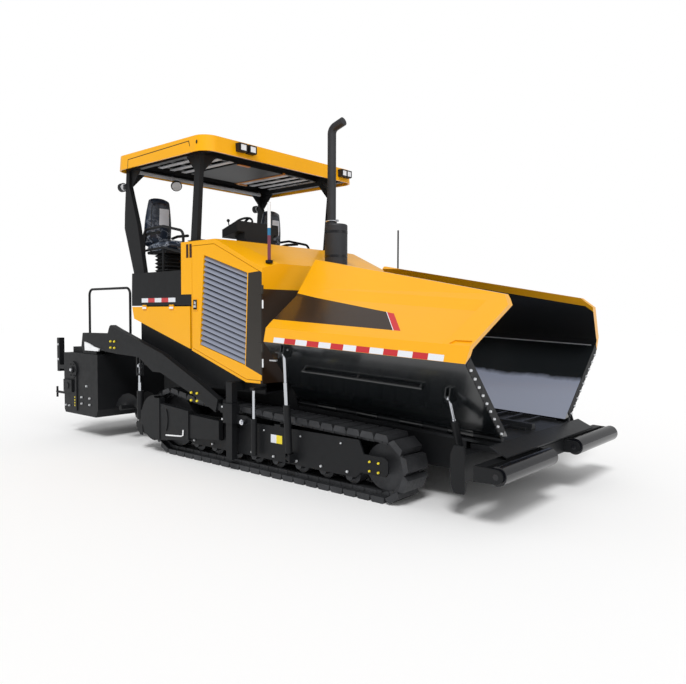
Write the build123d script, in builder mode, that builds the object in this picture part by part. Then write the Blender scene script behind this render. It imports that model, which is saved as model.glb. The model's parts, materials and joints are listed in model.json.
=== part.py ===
"""Tracked asphalt paver, millimetres.

+X points forward to the push rollers, +Y to the machine's left and +Z up.
The origin is on the ground, under the middle of the machine's length and width.
Right-hand pieces, on the -Y side, are drawn and the left-hand ones are their mirror images.
"""

from build123d import *
import math
import os

# Driving dimensions: body
HALF_BODY = 1250.0            # hood, platform and tracks end at this half width
HOOD_FRONT = 790.0
HOOD_REAR = -660.0
HOOD_TOP = 2626.0
HOOD_NOSE = 2255.0            # height of the hood's shoulder at its front end
HOOD_CREASE_X = -12.0         # where the shoulder starts to fall
HOOD_WALL = 30.0
PLATFORM_REAR = -1750.0
PLATFORM_FLOOR = 1930.0
PLATFORM_SIDE_TOP = 2290.0
BAND_TOP = 1995.0
BAND_BOTTOM = 1862.0
DECK_SHEET = 20.0

# Driving dimensions: tracks
TRACK_WIDTH = 327.0
SPROCKET_X = -880.0
SPROCKET_REACH = 415.0        # from the sprocket's centre to the tip of a shoe
IDLER_X = 2380.0
IDLER_REACH = 325.0
SHOE_HEIGHT = 55.0
SHOE_PITCH = 171.0
CHAIN_WIDTH = 150.0
CHAIN_DEPTH = 45.0
SAG_X = -250.0                # where the upper run bends out of its fall behind the sprocket
SAG_Z = 700.0
SAG_RADIUS = 1500.0
CARRIER_X = 1000.0
CARRIER_RADIUS = 60.0
ROLLER_RADIUS = 90.0
SEAT_GAP = 0.3                # a piece that rests on another stands off by this

# Driving dimensions: hopper
HOPPER_REAR = 894.0
HOPPER_LENGTH = 2490.0
HINGE_Y = HALF_BODY - 490.0
HINGE_Z = 766.0               # at the hopper's rear end
DECK_SLOPE = 2.7              # degrees, the floor falls towards the front
WING_WALL = 90.0
WING_SKIN = 50.0
RAIL_DROP = 60.0              # depth of the rails under the hopper's floor
PIN_RADIUS = 15.0
FOOT_PIN = 18.0
KNUCKLE_RADIUS = 26.0

# Driving dimensions: canopy
ROOF_FRONT = -68.0
ROOF_REAR = -1983.0
ROOF_HALF = HALF_BODY + 100.0
ROOF_TOP = 3826.0
ROOF_EDGE = 185.0
POST_Y = HALF_BODY - 70.0

# Driving dimensions: screed, tow arms and front
TOW_PIN_X = 215.0
TOW_PIN_Z = 680.0
ARM_INNER = HALF_BODY + 18.0
ARM_WIDTH = 80.0
SCREED_FRONT = -2420.0
SCREED_REAR = -3370.0
SCREED_HALF = HALF_BODY + 130.0
SCREED_BOTTOM = 312.0
SCREED_TOP = 1190.0
AUGER_X = -2100.0
AUGER_Z = 470.0
AUGER_RADIUS = 190.0
ROLLER_X = 3620.0
ROLLER_Z = 465.0
PUSH_RADIUS = 80.0

os.makedirs("parts", exist_ok=True)


def block(x_span, y_span, z_span):
    """A rectangular piece between two planes each way."""
    with BuildPart() as piece:
        centre = [(low + high) / 2 for low, high in (x_span, y_span, z_span)]
        with Locations(tuple(centre)):
            Box(x_span[1] - x_span[0], y_span[1] - y_span[0], z_span[1] - z_span[0])
    return piece.part


def side_plate(points, y_low, y_high):
    """A plate whose outline is drawn in side view, as (x, z)."""
    with BuildPart() as piece:
        with BuildSketch(Plane.XZ.offset(-y_high)):
            Polygon(*points, align=None)
        extrude(amount=y_high - y_low)
    return piece.part


def cross_plate(points, x_low, x_high):
    """A plate whose outline is drawn in front view, as (y, z)."""
    with BuildPart() as piece:
        with BuildSketch(Plane.YZ.offset(x_low)):
            Polygon(*points, align=None)
        extrude(amount=x_high - x_low)
    return piece.part


def rod(start, end, radius, bore=0.0):
    """A round bar, or a tube, from one point to another."""
    start_point = Vector(*start)
    run = Vector(*end) - start_point
    with BuildPart() as piece:
        with BuildSketch(Plane(origin=start_point, z_dir=run.normalized())):
            Circle(radius)
            if bore:
                Circle(bore, mode=Mode.SUBTRACT)
        extrude(amount=run.length)
    return piece.part


def bent_bar(points, bend, radius):
    """A round bar bent along straight runs joined by arcs."""
    with BuildPart() as piece:
        with BuildLine():
            path = FilletPolyline(*points, radius=bend)
        with BuildSketch(Plane(origin=path @ 0, z_dir=path % 0)):
            Circle(radius)
        sweep(path=path)
    return piece.part


def sheet_outline(points, thickness):
    """Outline of a folded sheet: the points, and the points set off to the left."""
    shifts = []
    for (y_0, z_0), (y_1, z_1) in zip(points, points[1:]):
        length = math.hypot(y_1 - y_0, z_1 - z_0)
        shifts.append((-(z_1 - z_0) / length, (y_1 - y_0) / length))
    inner = []
    for index, (y, z) in enumerate(points):
        before = shifts[max(index - 1, 0)]
        after = shifts[min(index, len(shifts) - 1)]
        share = thickness / (1 + before[0] * after[0] + before[1] * after[1])
        inner.append((y + share * (before[0] + after[0]), z + share * (before[1] + after[1])))
    return list(points) + inner[::-1]


def both_sides(piece):
    """The piece and its mirror image."""
    with BuildPart() as pair:
        add(piece)
        mirror(piece, about=Plane.XZ)
    return pair.part


def on_deck(piece):
    """Tips a piece drawn level, with x and z counted from the hopper's rear hinge corner."""
    corner = Location((HOPPER_REAR, 0, HINGE_Z), (0, DECK_SLOPE, 0))
    return corner * piece


def deck_z(x, drop):
    """Height of a line that runs a drop below the hopper's hinge line."""
    return HINGE_Z - (x - HOPPER_REAR) * math.tan(math.radians(DECK_SLOPE)) - drop


# Chassis: two long side plates, floor, bulkheads and the upper frame over the tracks
FRAME_SIDE = HALF_BODY - 450.0
FRAME_PLATE = 20.0
FRAME_BOTTOM = 330.0
FRAME_REAR = -1690.0
FRAME_FRONT = 3040.0
UPPER_SIDE = HALF_BODY - 100.0
TRACK_CLEAR = 880.0           # underside of the frame over the tracks
TUNNEL_TOP = 1100.0
UPPER_TOP = 1760.0
side_outline = [
    (PLATFORM_REAR + 60, FRAME_BOTTOM + 120),
    (PLATFORM_REAR + 200, FRAME_BOTTOM),
    (FRAME_FRONT, FRAME_BOTTOM),
    (FRAME_FRONT, deck_z(FRAME_FRONT, RAIL_DROP)),
    (HOPPER_REAR, deck_z(HOPPER_REAR, RAIL_DROP)),
    (HOOD_FRONT - HOOD_WALL, 1000),
    (PLATFORM_REAR + 60, 1000),
]
upper_outline = [
    (HOOD_FRONT - 60, TRACK_CLEAR),
    (HOOD_FRONT - 60, 1090),
    (500, 1090),
    (PLATFORM_REAR + 60, 1760),
    (PLATFORM_REAR + 60, 1240),
    (-900, TRACK_CLEAR),
]
with BuildPart() as chassis_frame:
    add(both_sides(side_plate(side_outline, -FRAME_SIDE, -FRAME_SIDE + FRAME_PLATE)))
    add(both_sides(side_plate(upper_outline, -UPPER_SIDE, -UPPER_SIDE + FRAME_PLATE)))
    full = (-FRAME_SIDE, FRAME_SIDE)
    add(block((PLATFORM_REAR + 200, FRAME_FRONT), full, (FRAME_BOTTOM, FRAME_BOTTOM + 12)))
    # Column name: x where a bulkhead stands
    for x in (PLATFORM_REAR + 200, -300, 700, 1800, FRAME_FRONT - 12):
        add(block((x, x + 12), full, (FRAME_BOTTOM, 560)))
    # Shelf over each track, and the deck over the conveyor tunnel
    long_span = (PLATFORM_REAR + 60, HOOD_FRONT - HOOD_WALL)
    shelf = (-UPPER_SIDE, -FRAME_SIDE + FRAME_PLATE)
    add(both_sides(block((-900, HOOD_FRONT - 60), shelf, (TRACK_CLEAR, TRACK_CLEAR + 20))))
    add(block(long_span, full, (TUNNEL_TOP - 20, TUNNEL_TOP)))
    add(both_sides(block(long_span, shelf, (TUNNEL_TOP - 20, TUNNEL_TOP))))
    add(both_sides(block(long_span, (-FRAME_SIDE, -FRAME_SIDE + FRAME_PLATE), (990, TUNNEL_TOP - 10))))
    # Rear wall of the frame
    rear_wall = (PLATFORM_REAR + 60, PLATFORM_REAR + 80)
    add(both_sides(block(rear_wall, shelf, (1240, UPPER_TOP))))
    add(block(rear_wall, full, (TUNNEL_TOP - 20, UPPER_TOP)))
chassis_frame.part.label = "chassis_frame"
export_step(chassis_frame.part, "parts/chassis_frame.step")

# Engine: one plain block on the deck over the tunnel
with BuildPart() as engine_block:
    add(block((-350, 560), (-430, 430), (1100, 2020)))
engine_block.part.label = "engine_block"
export_step(engine_block.part, "parts/engine_block.step")

# Hood: one shell over the engine, its roof falling to the nose, with a doorway in each side
DOOR_REAR = -440.0
DOOR_GAP = 6.0
DOOR_BOTTOM = 1040.0
DOOR_SHEET = 30.0
SHELF_BREAK = 526.0           # where the hood's lower edge turns level
HOOD_BOTTOM = 1005.0
HOOD_LOW_REAR = 1322.0        # height of the lower edge at the door's rear edge
ROOF_FLAT = HALF_BODY - 250.0   # half width of the roof's flat middle
REAR_CROWN = 6.0
NOSE_CROWN = 60.0


def hood_section(half, shoulder, crown):
    """Outline across the hood, open downwards past its lower edge."""
    flat = ROOF_FLAT - (HALF_BODY - half)
    roof = shoulder + crown
    return [(-half, 900), (half, 900), (half, shoulder), (flat, roof), (-flat, roof), (-half, shoulder)]


def hood_hull(sections):
    """Ruled hull through sections given as x, half width, shoulder height and crown."""
    with BuildPart() as hull:
        for x, half, shoulder, crown in sections:
            with BuildSketch(Plane.YZ.offset(x)):
                Polygon(*hood_section(half, shoulder, crown), align=None)
        loft(ruled=True)
    return hull.part


# Sections of the hood, outside and inside. Columns: x, half width, shoulder height, crown
hood_sections = [
    (HOOD_REAR, HALF_BODY, HOOD_TOP, REAR_CROWN),
    (HOOD_CREASE_X, HALF_BODY, HOOD_TOP, REAR_CROWN),
    (HOOD_FRONT, HALF_BODY, HOOD_NOSE, NOSE_CROWN),
]
inner_half = HALF_BODY - HOOD_WALL
inner_sections = [
    (HOOD_REAR + HOOD_WALL, inner_half, HOOD_TOP - HOOD_WALL, REAR_CROWN),
    (HOOD_CREASE_X - 7, inner_half, HOOD_TOP - HOOD_WALL, REAR_CROWN),
    (HOOD_FRONT - HOOD_WALL, inner_half, HOOD_NOSE - HOOD_WALL + 14, NOSE_CROWN),
]
hood_trim = [
    (HOOD_REAR - 1, BAND_TOP),
    (DOOR_REAR - 15, BAND_TOP),
    (DOOR_REAR - 15, HOOD_LOW_REAR),
    (SHELF_BREAK, HOOD_BOTTOM),
    (HOOD_FRONT + 1, HOOD_BOTTOM),
    (HOOD_FRONT + 1, 3000),
    (HOOD_REAR - 1, 3000),
]
door_outline = [
    (DOOR_REAR, 1356),
    (SHELF_BREAK + 8, DOOR_BOTTOM),
    (HOOD_FRONT - 12, DOOR_BOTTOM),
    (HOOD_FRONT - 12, HOOD_NOSE - 50),
    (HOOD_CREASE_X - 15, HOOD_TOP - 60),
    (DOOR_REAR, HOOD_TOP - 60),
]
with BuildPart() as hood_shell:
    add(hood_hull(hood_sections))
    add(hood_hull(inner_sections), mode=Mode.SUBTRACT)
    add(side_plate(hood_trim, -HALF_BODY, HALF_BODY), mode=Mode.INTERSECT)
    with BuildSketch(Plane.XZ.offset(-HALF_BODY)):
        Polygon(*door_outline, align=None)
        offset(amount=DOOR_GAP, kind=Kind.INTERSECTION)
    extrude(amount=2 * HALF_BODY, mode=Mode.SUBTRACT)
hood_shell.part.label = "hood_shell"
export_step(hood_shell.part, "parts/hood_shell.step")

# Louvre doors: a frame hinged on its front edge, and the grille of slanting blades in it
DOOR_PIN_X = HOOD_FRONT + 12.5
DOOR_PIN_Y = HALF_BODY + 6
LOUVRE_COUNT = 17
LOUVRE_STILE = 24.0
BLADE_SHEET = 7.0
grille_opening = [(-295, 1393), (509, 1191), (549, 2213), (-214, 2451)]
with BuildPart() as right_door:
    add(side_plate(door_outline, -HALF_BODY, -HALF_BODY + DOOR_SHEET))
    add(side_plate(grille_opening, -HALF_BODY, -HALF_BODY + DOOR_SHEET), mode=Mode.SUBTRACT)
    # Hinge straps and knuckles at two heights
    for z in (1350.0, 1980.0):
        add(rod((DOOR_PIN_X, -DOOR_PIN_Y, z), (DOOR_PIN_X, -DOOR_PIN_Y, z + 90), 11))
        add(block((HOOD_FRONT - 60, DOOR_PIN_X), (-DOOR_PIN_Y - 3, -HALF_BODY), (z, z + 90)))
    # Latch plate
    add(block((DOOR_REAR + 22, DOOR_REAR + 108), (-HALF_BODY - 8, -HALF_BODY), (1800, 1940)))
right_door.part.label = "right_door"
export_step(right_door.part, "parts/right_door.step")
with BuildPart() as left_door:
    mirror(right_door.part, about=Plane.XZ)
left_door.part.label = "left_door"
export_step(left_door.part, "parts/left_door.step")

# Grille: blades between two stiles behind the frame's opening
with BuildPart() as right_grille:
    blade_back = -HALF_BODY + DOOR_SHEET
    for index in range(LOUVRE_COUNT):
        share = (index + 0.5) / LOUVRE_COUNT
        rear = (-295 + 81 * share, 1393 + 1058 * share)
        front = (509 + 40 * share, 1191 + 1022 * share)
        start = Vector(rear[0], -HALF_BODY + 6, rear[1])
        run = Vector(front[0], -HALF_BODY + 6, front[1]) - start
        with BuildSketch(Plane(origin=start, x_dir=(0, 1, 0), z_dir=run.normalized())):
            Polygon((0, -22), (BLADE_SHEET, -22), (34, 20), (34 - BLADE_SHEET, 20), align=None)
        extrude(amount=run.length)
    # Columns: x and z at the stile's foot, x and z at its head
    for foot_x, foot_z, head_x, head_z in ((-301, 1393, -220, 2451), (491, 1191, 531, 2213)):
        stile = [
            (foot_x, foot_z),
            (foot_x + LOUVRE_STILE, foot_z),
            (head_x + LOUVRE_STILE, head_z),
            (head_x, head_z),
        ]
        add(side_plate(stile, blade_back + SEAT_GAP, blade_back + 30))
    add(right_door.part, mode=Mode.SUBTRACT)
right_grille.part.label = "right_grille"
export_step(right_grille.part, "parts/right_grille.step")
with BuildPart() as left_grille:
    mirror(right_grille.part, about=Plane.XZ)
left_grille.part.label = "left_grille"
export_step(left_grille.part, "parts/left_grille.step")

# Lower side flaps, hinged along their top edge
FLAP_PIN_Y = HALF_BODY + 9 + SEAT_GAP
FLAP_PIN_Z = BAND_BOTTOM + 3
flap_outline = [(-1745, 1850), (-1702, 1695), (DOOR_REAR - 48, 1340), (DOOR_REAR - 48, 1850)]
with BuildPart() as right_flap:
    add(side_plate(flap_outline, -HALF_BODY, -HALF_BODY + 24))
    for x in (-1480, -890):
        add(rod((x, -FLAP_PIN_Y, FLAP_PIN_Z - 1), (x + 80, -FLAP_PIN_Y, FLAP_PIN_Z - 1), 9))
        add(block((x, x + 80), (-FLAP_PIN_Y - 2, -HALF_BODY), (FLAP_PIN_Z - 50, FLAP_PIN_Z - 4)))
right_flap.part.label = "right_flap"
export_step(right_flap.part, "parts/right_flap.step")
with BuildPart() as left_flap:
    mirror(right_flap.part, about=Plane.XZ)
left_flap.part.label = "left_flap"
export_step(left_flap.part, "parts/left_flap.step")

# Operator's platform: floor, side walls, rear wall stubs and the band along each side
WALL_SHEET = 25.0
wall_outline = [
    (PLATFORM_REAR, BAND_TOP),
    (HOOD_REAR - SEAT_GAP, BAND_TOP),
    (HOOD_REAR - SEAT_GAP, PLATFORM_SIDE_TOP),
    (PLATFORM_REAR + 10, PLATFORM_SIDE_TOP),
]
with BuildPart() as platform_base:
    side_wall = (-HALF_BODY, -HALF_BODY + WALL_SHEET)
    length = (PLATFORM_REAR, HOOD_REAR - SEAT_GAP)
    add(block(length, (-HALF_BODY, HALF_BODY), (PLATFORM_FLOOR, PLATFORM_FLOOR + DECK_SHEET)))
    add(both_sides(side_plate(wall_outline, -HALF_BODY, -HALF_BODY + WALL_SHEET)))
    add(both_sides(block((PLATFORM_REAR, DOOR_REAR - 15), side_wall, (BAND_BOTTOM, BAND_TOP - SEAT_GAP))))
    add(both_sides(block(length, side_wall, (BAND_BOTTOM, BAND_TOP + 5))))
    # Under the floor: a box down to the upper frame
    for x in (PLATFORM_REAR + 60, -1200, HOOD_REAR - 40):
        reach = UPPER_SIDE - FRAME_PLATE - SEAT_GAP
        low = UPPER_TOP if x < -1600 else TUNNEL_TOP
        add(block((x, x + 20), (-reach, reach), (low + SEAT_GAP, PLATFORM_FLOOR)))
    stub = (-POST_Y + 36, -HALF_BODY + 550)
    stub_length = (PLATFORM_REAR, PLATFORM_REAR + WALL_SHEET)
    add(both_sides(block(stub_length, stub, (PLATFORM_FLOOR, PLATFORM_SIDE_TOP))))
platform_base.part.label = "platform_base"
export_step(platform_base.part, "parts/platform_base.step")

# Seats: pedestal, cushion and leaning back. Columns: x of the pedestal, y
SEAT_BASE = PLATFORM_FLOOR + DECK_SHEET
SEAT_Y = HALF_BODY - 390.0
with BuildPart() as seats:
    for x, y in ((-1460, -SEAT_Y), (-1080, SEAT_Y)):
        add(block((x - 170, x + 170), (y - 180, y + 180), (SEAT_BASE + SEAT_GAP, SEAT_BASE + 300)))
        add(block((x - 120, x + 120), (y - 130, y + 130), (SEAT_BASE + 300, SEAT_BASE + 620)))
        cushion = [(x - 250, 2570), (x + 250, 2570), (x + 270, 2640), (x + 250, 2710), (x - 170, 2690)]
        back = [
            (x - 250, 2570),
            (x - 170, 2640),
            (x - 215, 3090),
            (x - 235, 3330),
            (x - 300, 3345),
            (x - 335, 3290),
            (x - 290, 2700),
        ]
        add(side_plate(cushion, y - 245, y + 245))
        with BuildSketch(Plane.XZ.offset(-y)):
            Polygon(*back, align=None)
        extrude(amount=240, both=True, taper=3)
seats.part.label = "seats"
export_step(seats.part, "parts/seats.step")

# Console across the platform's front: desk on a column, with a steering wheel
with BuildPart() as control_console:
    add(block((-860, HOOD_REAR - 10), (-200, 330), (SEAT_BASE + SEAT_GAP, 2760)))
    add(side_plate([(-1010, 2790), (-700, 2860), (-700, 3000), (-1010, 2900)], -330, 420))
    add(side_plate([(-860, 2755), (-700, 2755), (-700, 2865), (-900, 2820)], -200, 330))
    add(rod((-960, 60, 2890), (-1030, 60, 3010), 22))
    with BuildSketch(Plane(origin=(-1030, 60, 3010), z_dir=(-0.5, 0, 0.86))):
        Circle(150)
        Circle(128, mode=Mode.SUBTRACT)
        Rectangle(280, 26)
        Circle(40)
    extrude(amount=22)
control_console.part.label = "control_console"
export_step(control_console.part, "parts/control_console.step")

# Handrails each side of the platform
RAIL_RADIUS = 17.0
RAIL_Y = POST_Y - 52.0
with BuildPart() as handrails:
    rail_loop = [
        (-1640, -RAIL_Y, SEAT_BASE + SEAT_GAP),
        (-1640, -RAIL_Y, 2868),
        (-1203, -RAIL_Y, 2881),
        (-780, -RAIL_Y, 2789),
        (-780, -RAIL_Y, SEAT_BASE + SEAT_GAP),
    ]
    add(both_sides(bent_bar(rail_loop, 90, RAIL_RADIUS)))
    add(both_sides(rod((-1645, -RAIL_Y, 2590), (-1206, -RAIL_Y, 2612), RAIL_RADIUS - 2)))
    add(both_sides(rod((-1206, -RAIL_Y, 2612), (-775, -RAIL_Y, 2518), RAIL_RADIUS - 2)))
    add(both_sides(rod((-1206, -RAIL_Y, SEAT_BASE + SEAT_GAP), (-1206, -RAIL_Y, 2612), RAIL_RADIUS - 2)))
handrails.part.label = "handrails"
export_step(handrails.part, "parts/handrails.step")

# Canopy roof: a shallow shell with rounded corners, open below
ROOF_SHEET = 20.0
ROOF_LEAN = 4.0
roof_length = ROOF_FRONT - ROOF_REAR
roof_centre = (ROOF_FRONT + ROOF_REAR) / 2
with BuildPart() as canopy_roof:
    with BuildSketch(Plane.XY.offset(ROOF_TOP - ROOF_EDGE)):
        with Locations((roof_centre, 0)):
            RectangleRounded(roof_length, 2 * ROOF_HALF, 190)
    extrude(amount=ROOF_EDGE, taper=ROOF_LEAN)
    with BuildSketch(Plane.XY.offset(ROOF_TOP - ROOF_EDGE)):
        with Locations((roof_centre, 0)):
            RectangleRounded(roof_length - 2 * ROOF_SHEET, 2 * (ROOF_HALF - ROOF_SHEET), 170)
    extrude(amount=ROOF_EDGE - ROOF_SHEET, taper=ROOF_LEAN, mode=Mode.SUBTRACT)
canopy_roof.part.label = "canopy_roof"
export_step(canopy_roof.part, "parts/canopy_roof.step")

# Canopy frame: four posts, the beams under the roof and the ribs of its lining
BEAM_TOP = ROOF_TOP - ROOF_SHEET - SEAT_GAP
BEAM_DEPTH = 150.0
rear_post = [
    (-1905, BEAM_TOP - 20),
    (-1840, BEAM_TOP - 20),
    (-1850, 3450),
    (-1665, 2932),
    (-1520, 2300),
    (-1500, SEAT_BASE + SEAT_GAP),
    (-1700, SEAT_BASE + SEAT_GAP),
    (-1760, 2300),
    (-1975, 2909),
    (-1965, 3107),
]
front_post = [(-405, BEAM_TOP - 20), (-310, BEAM_TOP - 20), (-400, HOOD_TOP + 8), (-520, HOOD_TOP + 8)]
with BuildPart() as canopy_frame:
    add(both_sides(side_plate(rear_post, -POST_Y - 30, -POST_Y + 30)))
    add(both_sides(side_plate(front_post, -POST_Y - 30, -POST_Y + 30)))
    beam_width = (-POST_Y - 35, -POST_Y + 35)
    add(both_sides(block((ROOF_REAR + 70, ROOF_FRONT - 70), beam_width, (BEAM_TOP - BEAM_DEPTH, BEAM_TOP))))
    for x in (-1890, -1560, -1260, -960, -660, -360):
        add(block((x - 25, x + 25), (-POST_Y, POST_Y), (BEAM_TOP - 80, BEAM_TOP - 10)))
    # Lining sheet between the ribs
    add(block((ROOF_REAR + 100, ROOF_FRONT - 100), (-POST_Y, POST_Y), (BEAM_TOP - 14, BEAM_TOP)))
    # Blind's roller tube along the rear beam
    add(rod((-1890, -POST_Y + 80, BEAM_TOP - 115), (-1890, POST_Y - 80, BEAM_TOP - 115), 36))
    add(both_sides(block((-540, -290), (-POST_Y - 60, -POST_Y + 60), (HOOD_TOP + 6.5, HOOD_TOP + 16))))
canopy_frame.part.label = "canopy_frame"
export_step(canopy_frame.part, "parts/canopy_frame.step")

# Exhaust: silencer on the hood, pipe standing behind it with its mouth turned forward
MUFFLER_X = 620.0
MUFFLER_Y = 150.0
MUFFLER_RADIUS = 142.0
MUFFLER_TOP = 2880.0
PIPE_RADIUS = 54.0
PIPE_X = 545.0
PIPE_TOP = 4130.0
with BuildPart() as muffler:
    fall = (HOOD_TOP - HOOD_NOSE) / (HOOD_FRONT - HOOD_CREASE_X)
    muffler_foot = HOOD_TOP + 8 - fall * (MUFFLER_X + MUFFLER_RADIUS - HOOD_CREASE_X)
    with BuildSketch(Plane.XY.offset(muffler_foot)):
        with Locations((MUFFLER_X, MUFFLER_Y)):
            Circle(MUFFLER_RADIUS)
    extrude(amount=MUFFLER_TOP - muffler_foot)
    fillet(muffler.edges().filter_by(GeomType.CIRCLE).group_by(Axis.Z)[-1], 24)
    add(hood_hull(hood_sections), mode=Mode.SUBTRACT)
muffler.part.label = "muffler"
export_step(muffler.part, "parts/muffler.step")
with BuildPart() as exhaust_pipe:
    pipe_foot = (PIPE_X, MUFFLER_Y, MUFFLER_TOP + SEAT_GAP)
    pipe_line = [pipe_foot, (PIPE_X, MUFFLER_Y, PIPE_TOP - 60), (PIPE_X + 190, MUFFLER_Y, PIPE_TOP)]
    add(bent_bar(pipe_line, 90, PIPE_RADIUS))
    add(rod(pipe_foot, (PIPE_X, MUFFLER_Y, MUFFLER_TOP + 60), PIPE_RADIUS + 12))
exhaust_pipe.part.label = "exhaust_pipe"
export_step(exhaust_pipe.part, "parts/exhaust_pipe.step")
# Pole on the hood's front corner
POLE_X = HOOD_FRONT - 50.0
POLE_Y = HALF_BODY - 150.0
POLE_FOOT = HOOD_NOSE + 67.0
POLE_TOP = 2980.0
with BuildPart() as hood_pole:
    add(rod((POLE_X, -POLE_Y, POLE_FOOT), (POLE_X, -POLE_Y, POLE_TOP), 17))
    add(rod((POLE_X, -POLE_Y, POLE_FOOT), (POLE_X, -POLE_Y, POLE_FOOT + 28), 40))
    add(hood_hull(hood_sections), mode=Mode.SUBTRACT)
hood_pole.part.label = "hood_pole"
export_step(hood_pole.part, "parts/hood_pole.step")

# Tracks: a closed chain round sprocket and idler, its upper run sagging, with a shoe at each pitch
sprocket_base = SPROCKET_REACH - SHOE_HEIGHT
idler_base = IDLER_REACH - SHOE_HEIGHT
# Circles that the shoe plates follow; the sag's centre is above the chain, so its radius is negative.
# Columns: x, z, radius
chain_circles = [
    (SPROCKET_X, SPROCKET_REACH, sprocket_base),
    (SAG_X, SAG_Z + SAG_RADIUS, -SAG_RADIUS),
    (IDLER_X, IDLER_REACH, idler_base),
]


def tangent_run(first, second):
    """Tangent line of two circles: its ends, and the direction it faces outwards."""
    dx = second[0] - first[0]
    dz = second[1] - first[1]
    facing = math.atan2(dz, dx) + math.acos((first[2] - second[2]) / math.hypot(dx, dz))
    ends = []
    for x, z, radius in (first, second):
        ends.append((x + radius * math.cos(facing), z + radius * math.sin(facing)))
    return ends[0], ends[1], facing


def chain_path(circles):
    """Stretches of the chain, clockwise. Each is start, end, length, circle, facing, turn."""
    count = len(circles)
    runs = []
    for index in range(count):
        runs.append(tangent_run(circles[index], circles[(index + 1) % count]))
    path = []
    for index, (start, end, facing) in enumerate(runs):
        path.append((start, end, math.dist(start, end), None, facing, 0.0))
        circle = circles[(index + 1) % count]
        after = runs[(index + 1) % count]
        turn = -((facing - after[2]) % (2 * math.pi))
        if circle[2] < 0:
            turn = (after[2] - facing) % (2 * math.pi)
        path.append((end, after[0], abs(turn * circle[2]), circle, facing, turn))
    return path


def point_on(path, distance):
    """Point on the chain at a distance along it, and the direction it faces outwards."""
    for start, end, length, circle, facing, turn in path:
        if distance <= length:
            break
        distance -= length
    share = distance / length
    if circle is None:
        return start[0] + share * (end[0] - start[0]), start[1] + share * (end[1] - start[1]), facing
    angle = facing + share * turn
    return circle[0] + circle[2] * math.cos(angle), circle[1] + circle[2] * math.sin(angle), angle


track_path = chain_path(chain_circles)
track_length = sum(stretch[2] for stretch in track_path)
shoe_count = round(track_length / SHOE_PITCH)
shoe_step = track_length / shoe_count
TRACK_Y = HALF_BODY - TRACK_WIDTH / 2 - 4
# Shoe in its own frame. Columns: along the track, outwards
shoe_outline = [(-80, -6), (80, -6), (80, 14), (62, SHOE_HEIGHT), (-62, SHOE_HEIGHT), (-80, 14)]


def chain_loop(depth):
    """Face inside the closed line that lies a depth inside the shoe plates."""
    with BuildSketch(Plane.XZ.offset(TRACK_Y - CHAIN_WIDTH / 2)) as loop:
        with BuildLine():
            for start, end, length, circle, facing, turn in track_path:
                shift = Vector(-depth * math.cos(facing), -depth * math.sin(facing))
                if circle is None:
                    Line(Vector(*start) + shift, Vector(*end) + shift)
                else:
                    radius = circle[2] - depth
                    begin = facing if radius > 0 else facing + math.pi
                    CenterArc(circle[:2], abs(radius), math.degrees(begin), math.degrees(turn))
        make_face()
    return loop.sketch


with BuildPart() as right_track:
    with BuildSketch(Plane.XZ.offset(TRACK_Y - TRACK_WIDTH / 2)):
        for index in range(shoe_count):
            x, z, facing = point_on(track_path, index * shoe_step)
            with Locations(Location((x, z), math.degrees(facing) - 90)):
                Polygon(*shoe_outline, align=None)
    extrude(amount=TRACK_WIDTH)
    extrude(chain_loop(0), amount=CHAIN_WIDTH)
    extrude(chain_loop(CHAIN_DEPTH), amount=CHAIN_WIDTH, mode=Mode.SUBTRACT)
right_track.part.label = "right_track"
export_step(right_track.part, "parts/right_track.step")
with BuildPart() as left_track:
    mirror(right_track.part, about=Plane.XZ)
left_track.part.label = "left_track"
export_step(left_track.part, "parts/left_track.step")

# Wheels of the tracks: sprocket, idler, track rollers and carrier roller, with their shafts
SKIRT_Y = HALF_BODY - 22.0      # outer face of the track frame
SKIRT = 18.0
FRAME_INNER = HALF_BODY - 300.0
roller_z = SHOE_HEIGHT + CHAIN_DEPTH + SEAT_GAP + ROLLER_RADIUS
share = (CARRIER_X - SAG_X) / (IDLER_X - SAG_X)
carrier_z = SAG_Z + share * (IDLER_REACH + idler_base - SAG_Z) - CHAIN_DEPTH - CARRIER_RADIUS - 2
# Columns: x, z, radius, half width, half length of the shaft
track_wheel_table = [
    (SPROCKET_X, SPROCKET_REACH, sprocket_base - CHAIN_DEPTH - SEAT_GAP, 55.0, 60.0),
    (IDLER_X, IDLER_REACH, idler_base - CHAIN_DEPTH - SEAT_GAP, 60.0, 0.0),
    (CARRIER_X, carrier_z, CARRIER_RADIUS, 60.0, 0.0),
]
for x in range(-430, 2000, 345):
    track_wheel_table.append((float(x), roller_z, ROLLER_RADIUS, 60.0, 0.0))
with BuildPart() as track_wheels:
    for side in (-1, 1):
        for x, z, radius, half, shaft in track_wheel_table:
            y = side * TRACK_Y
            add(rod((x, y - half, z), (x, y + half, z), radius))
            if shaft == 0:
                low = side * (FRAME_INNER + SKIRT + SEAT_GAP)
                high = side * (SKIRT_Y - SKIRT - SEAT_GAP)
                add(rod((x, low, z), (x, high, z), min(45.0, radius * 0.6)))
            else:
                add(rod((x, side * (FRAME_SIDE + SEAT_GAP), z), (x, y, z), 150))
                add(rod((x, y, z), (x, y + side * 85, z), 130))
track_wheels.part.label = "track_wheels"
export_step(track_wheels.part, "parts/track_wheels.step")

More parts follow.
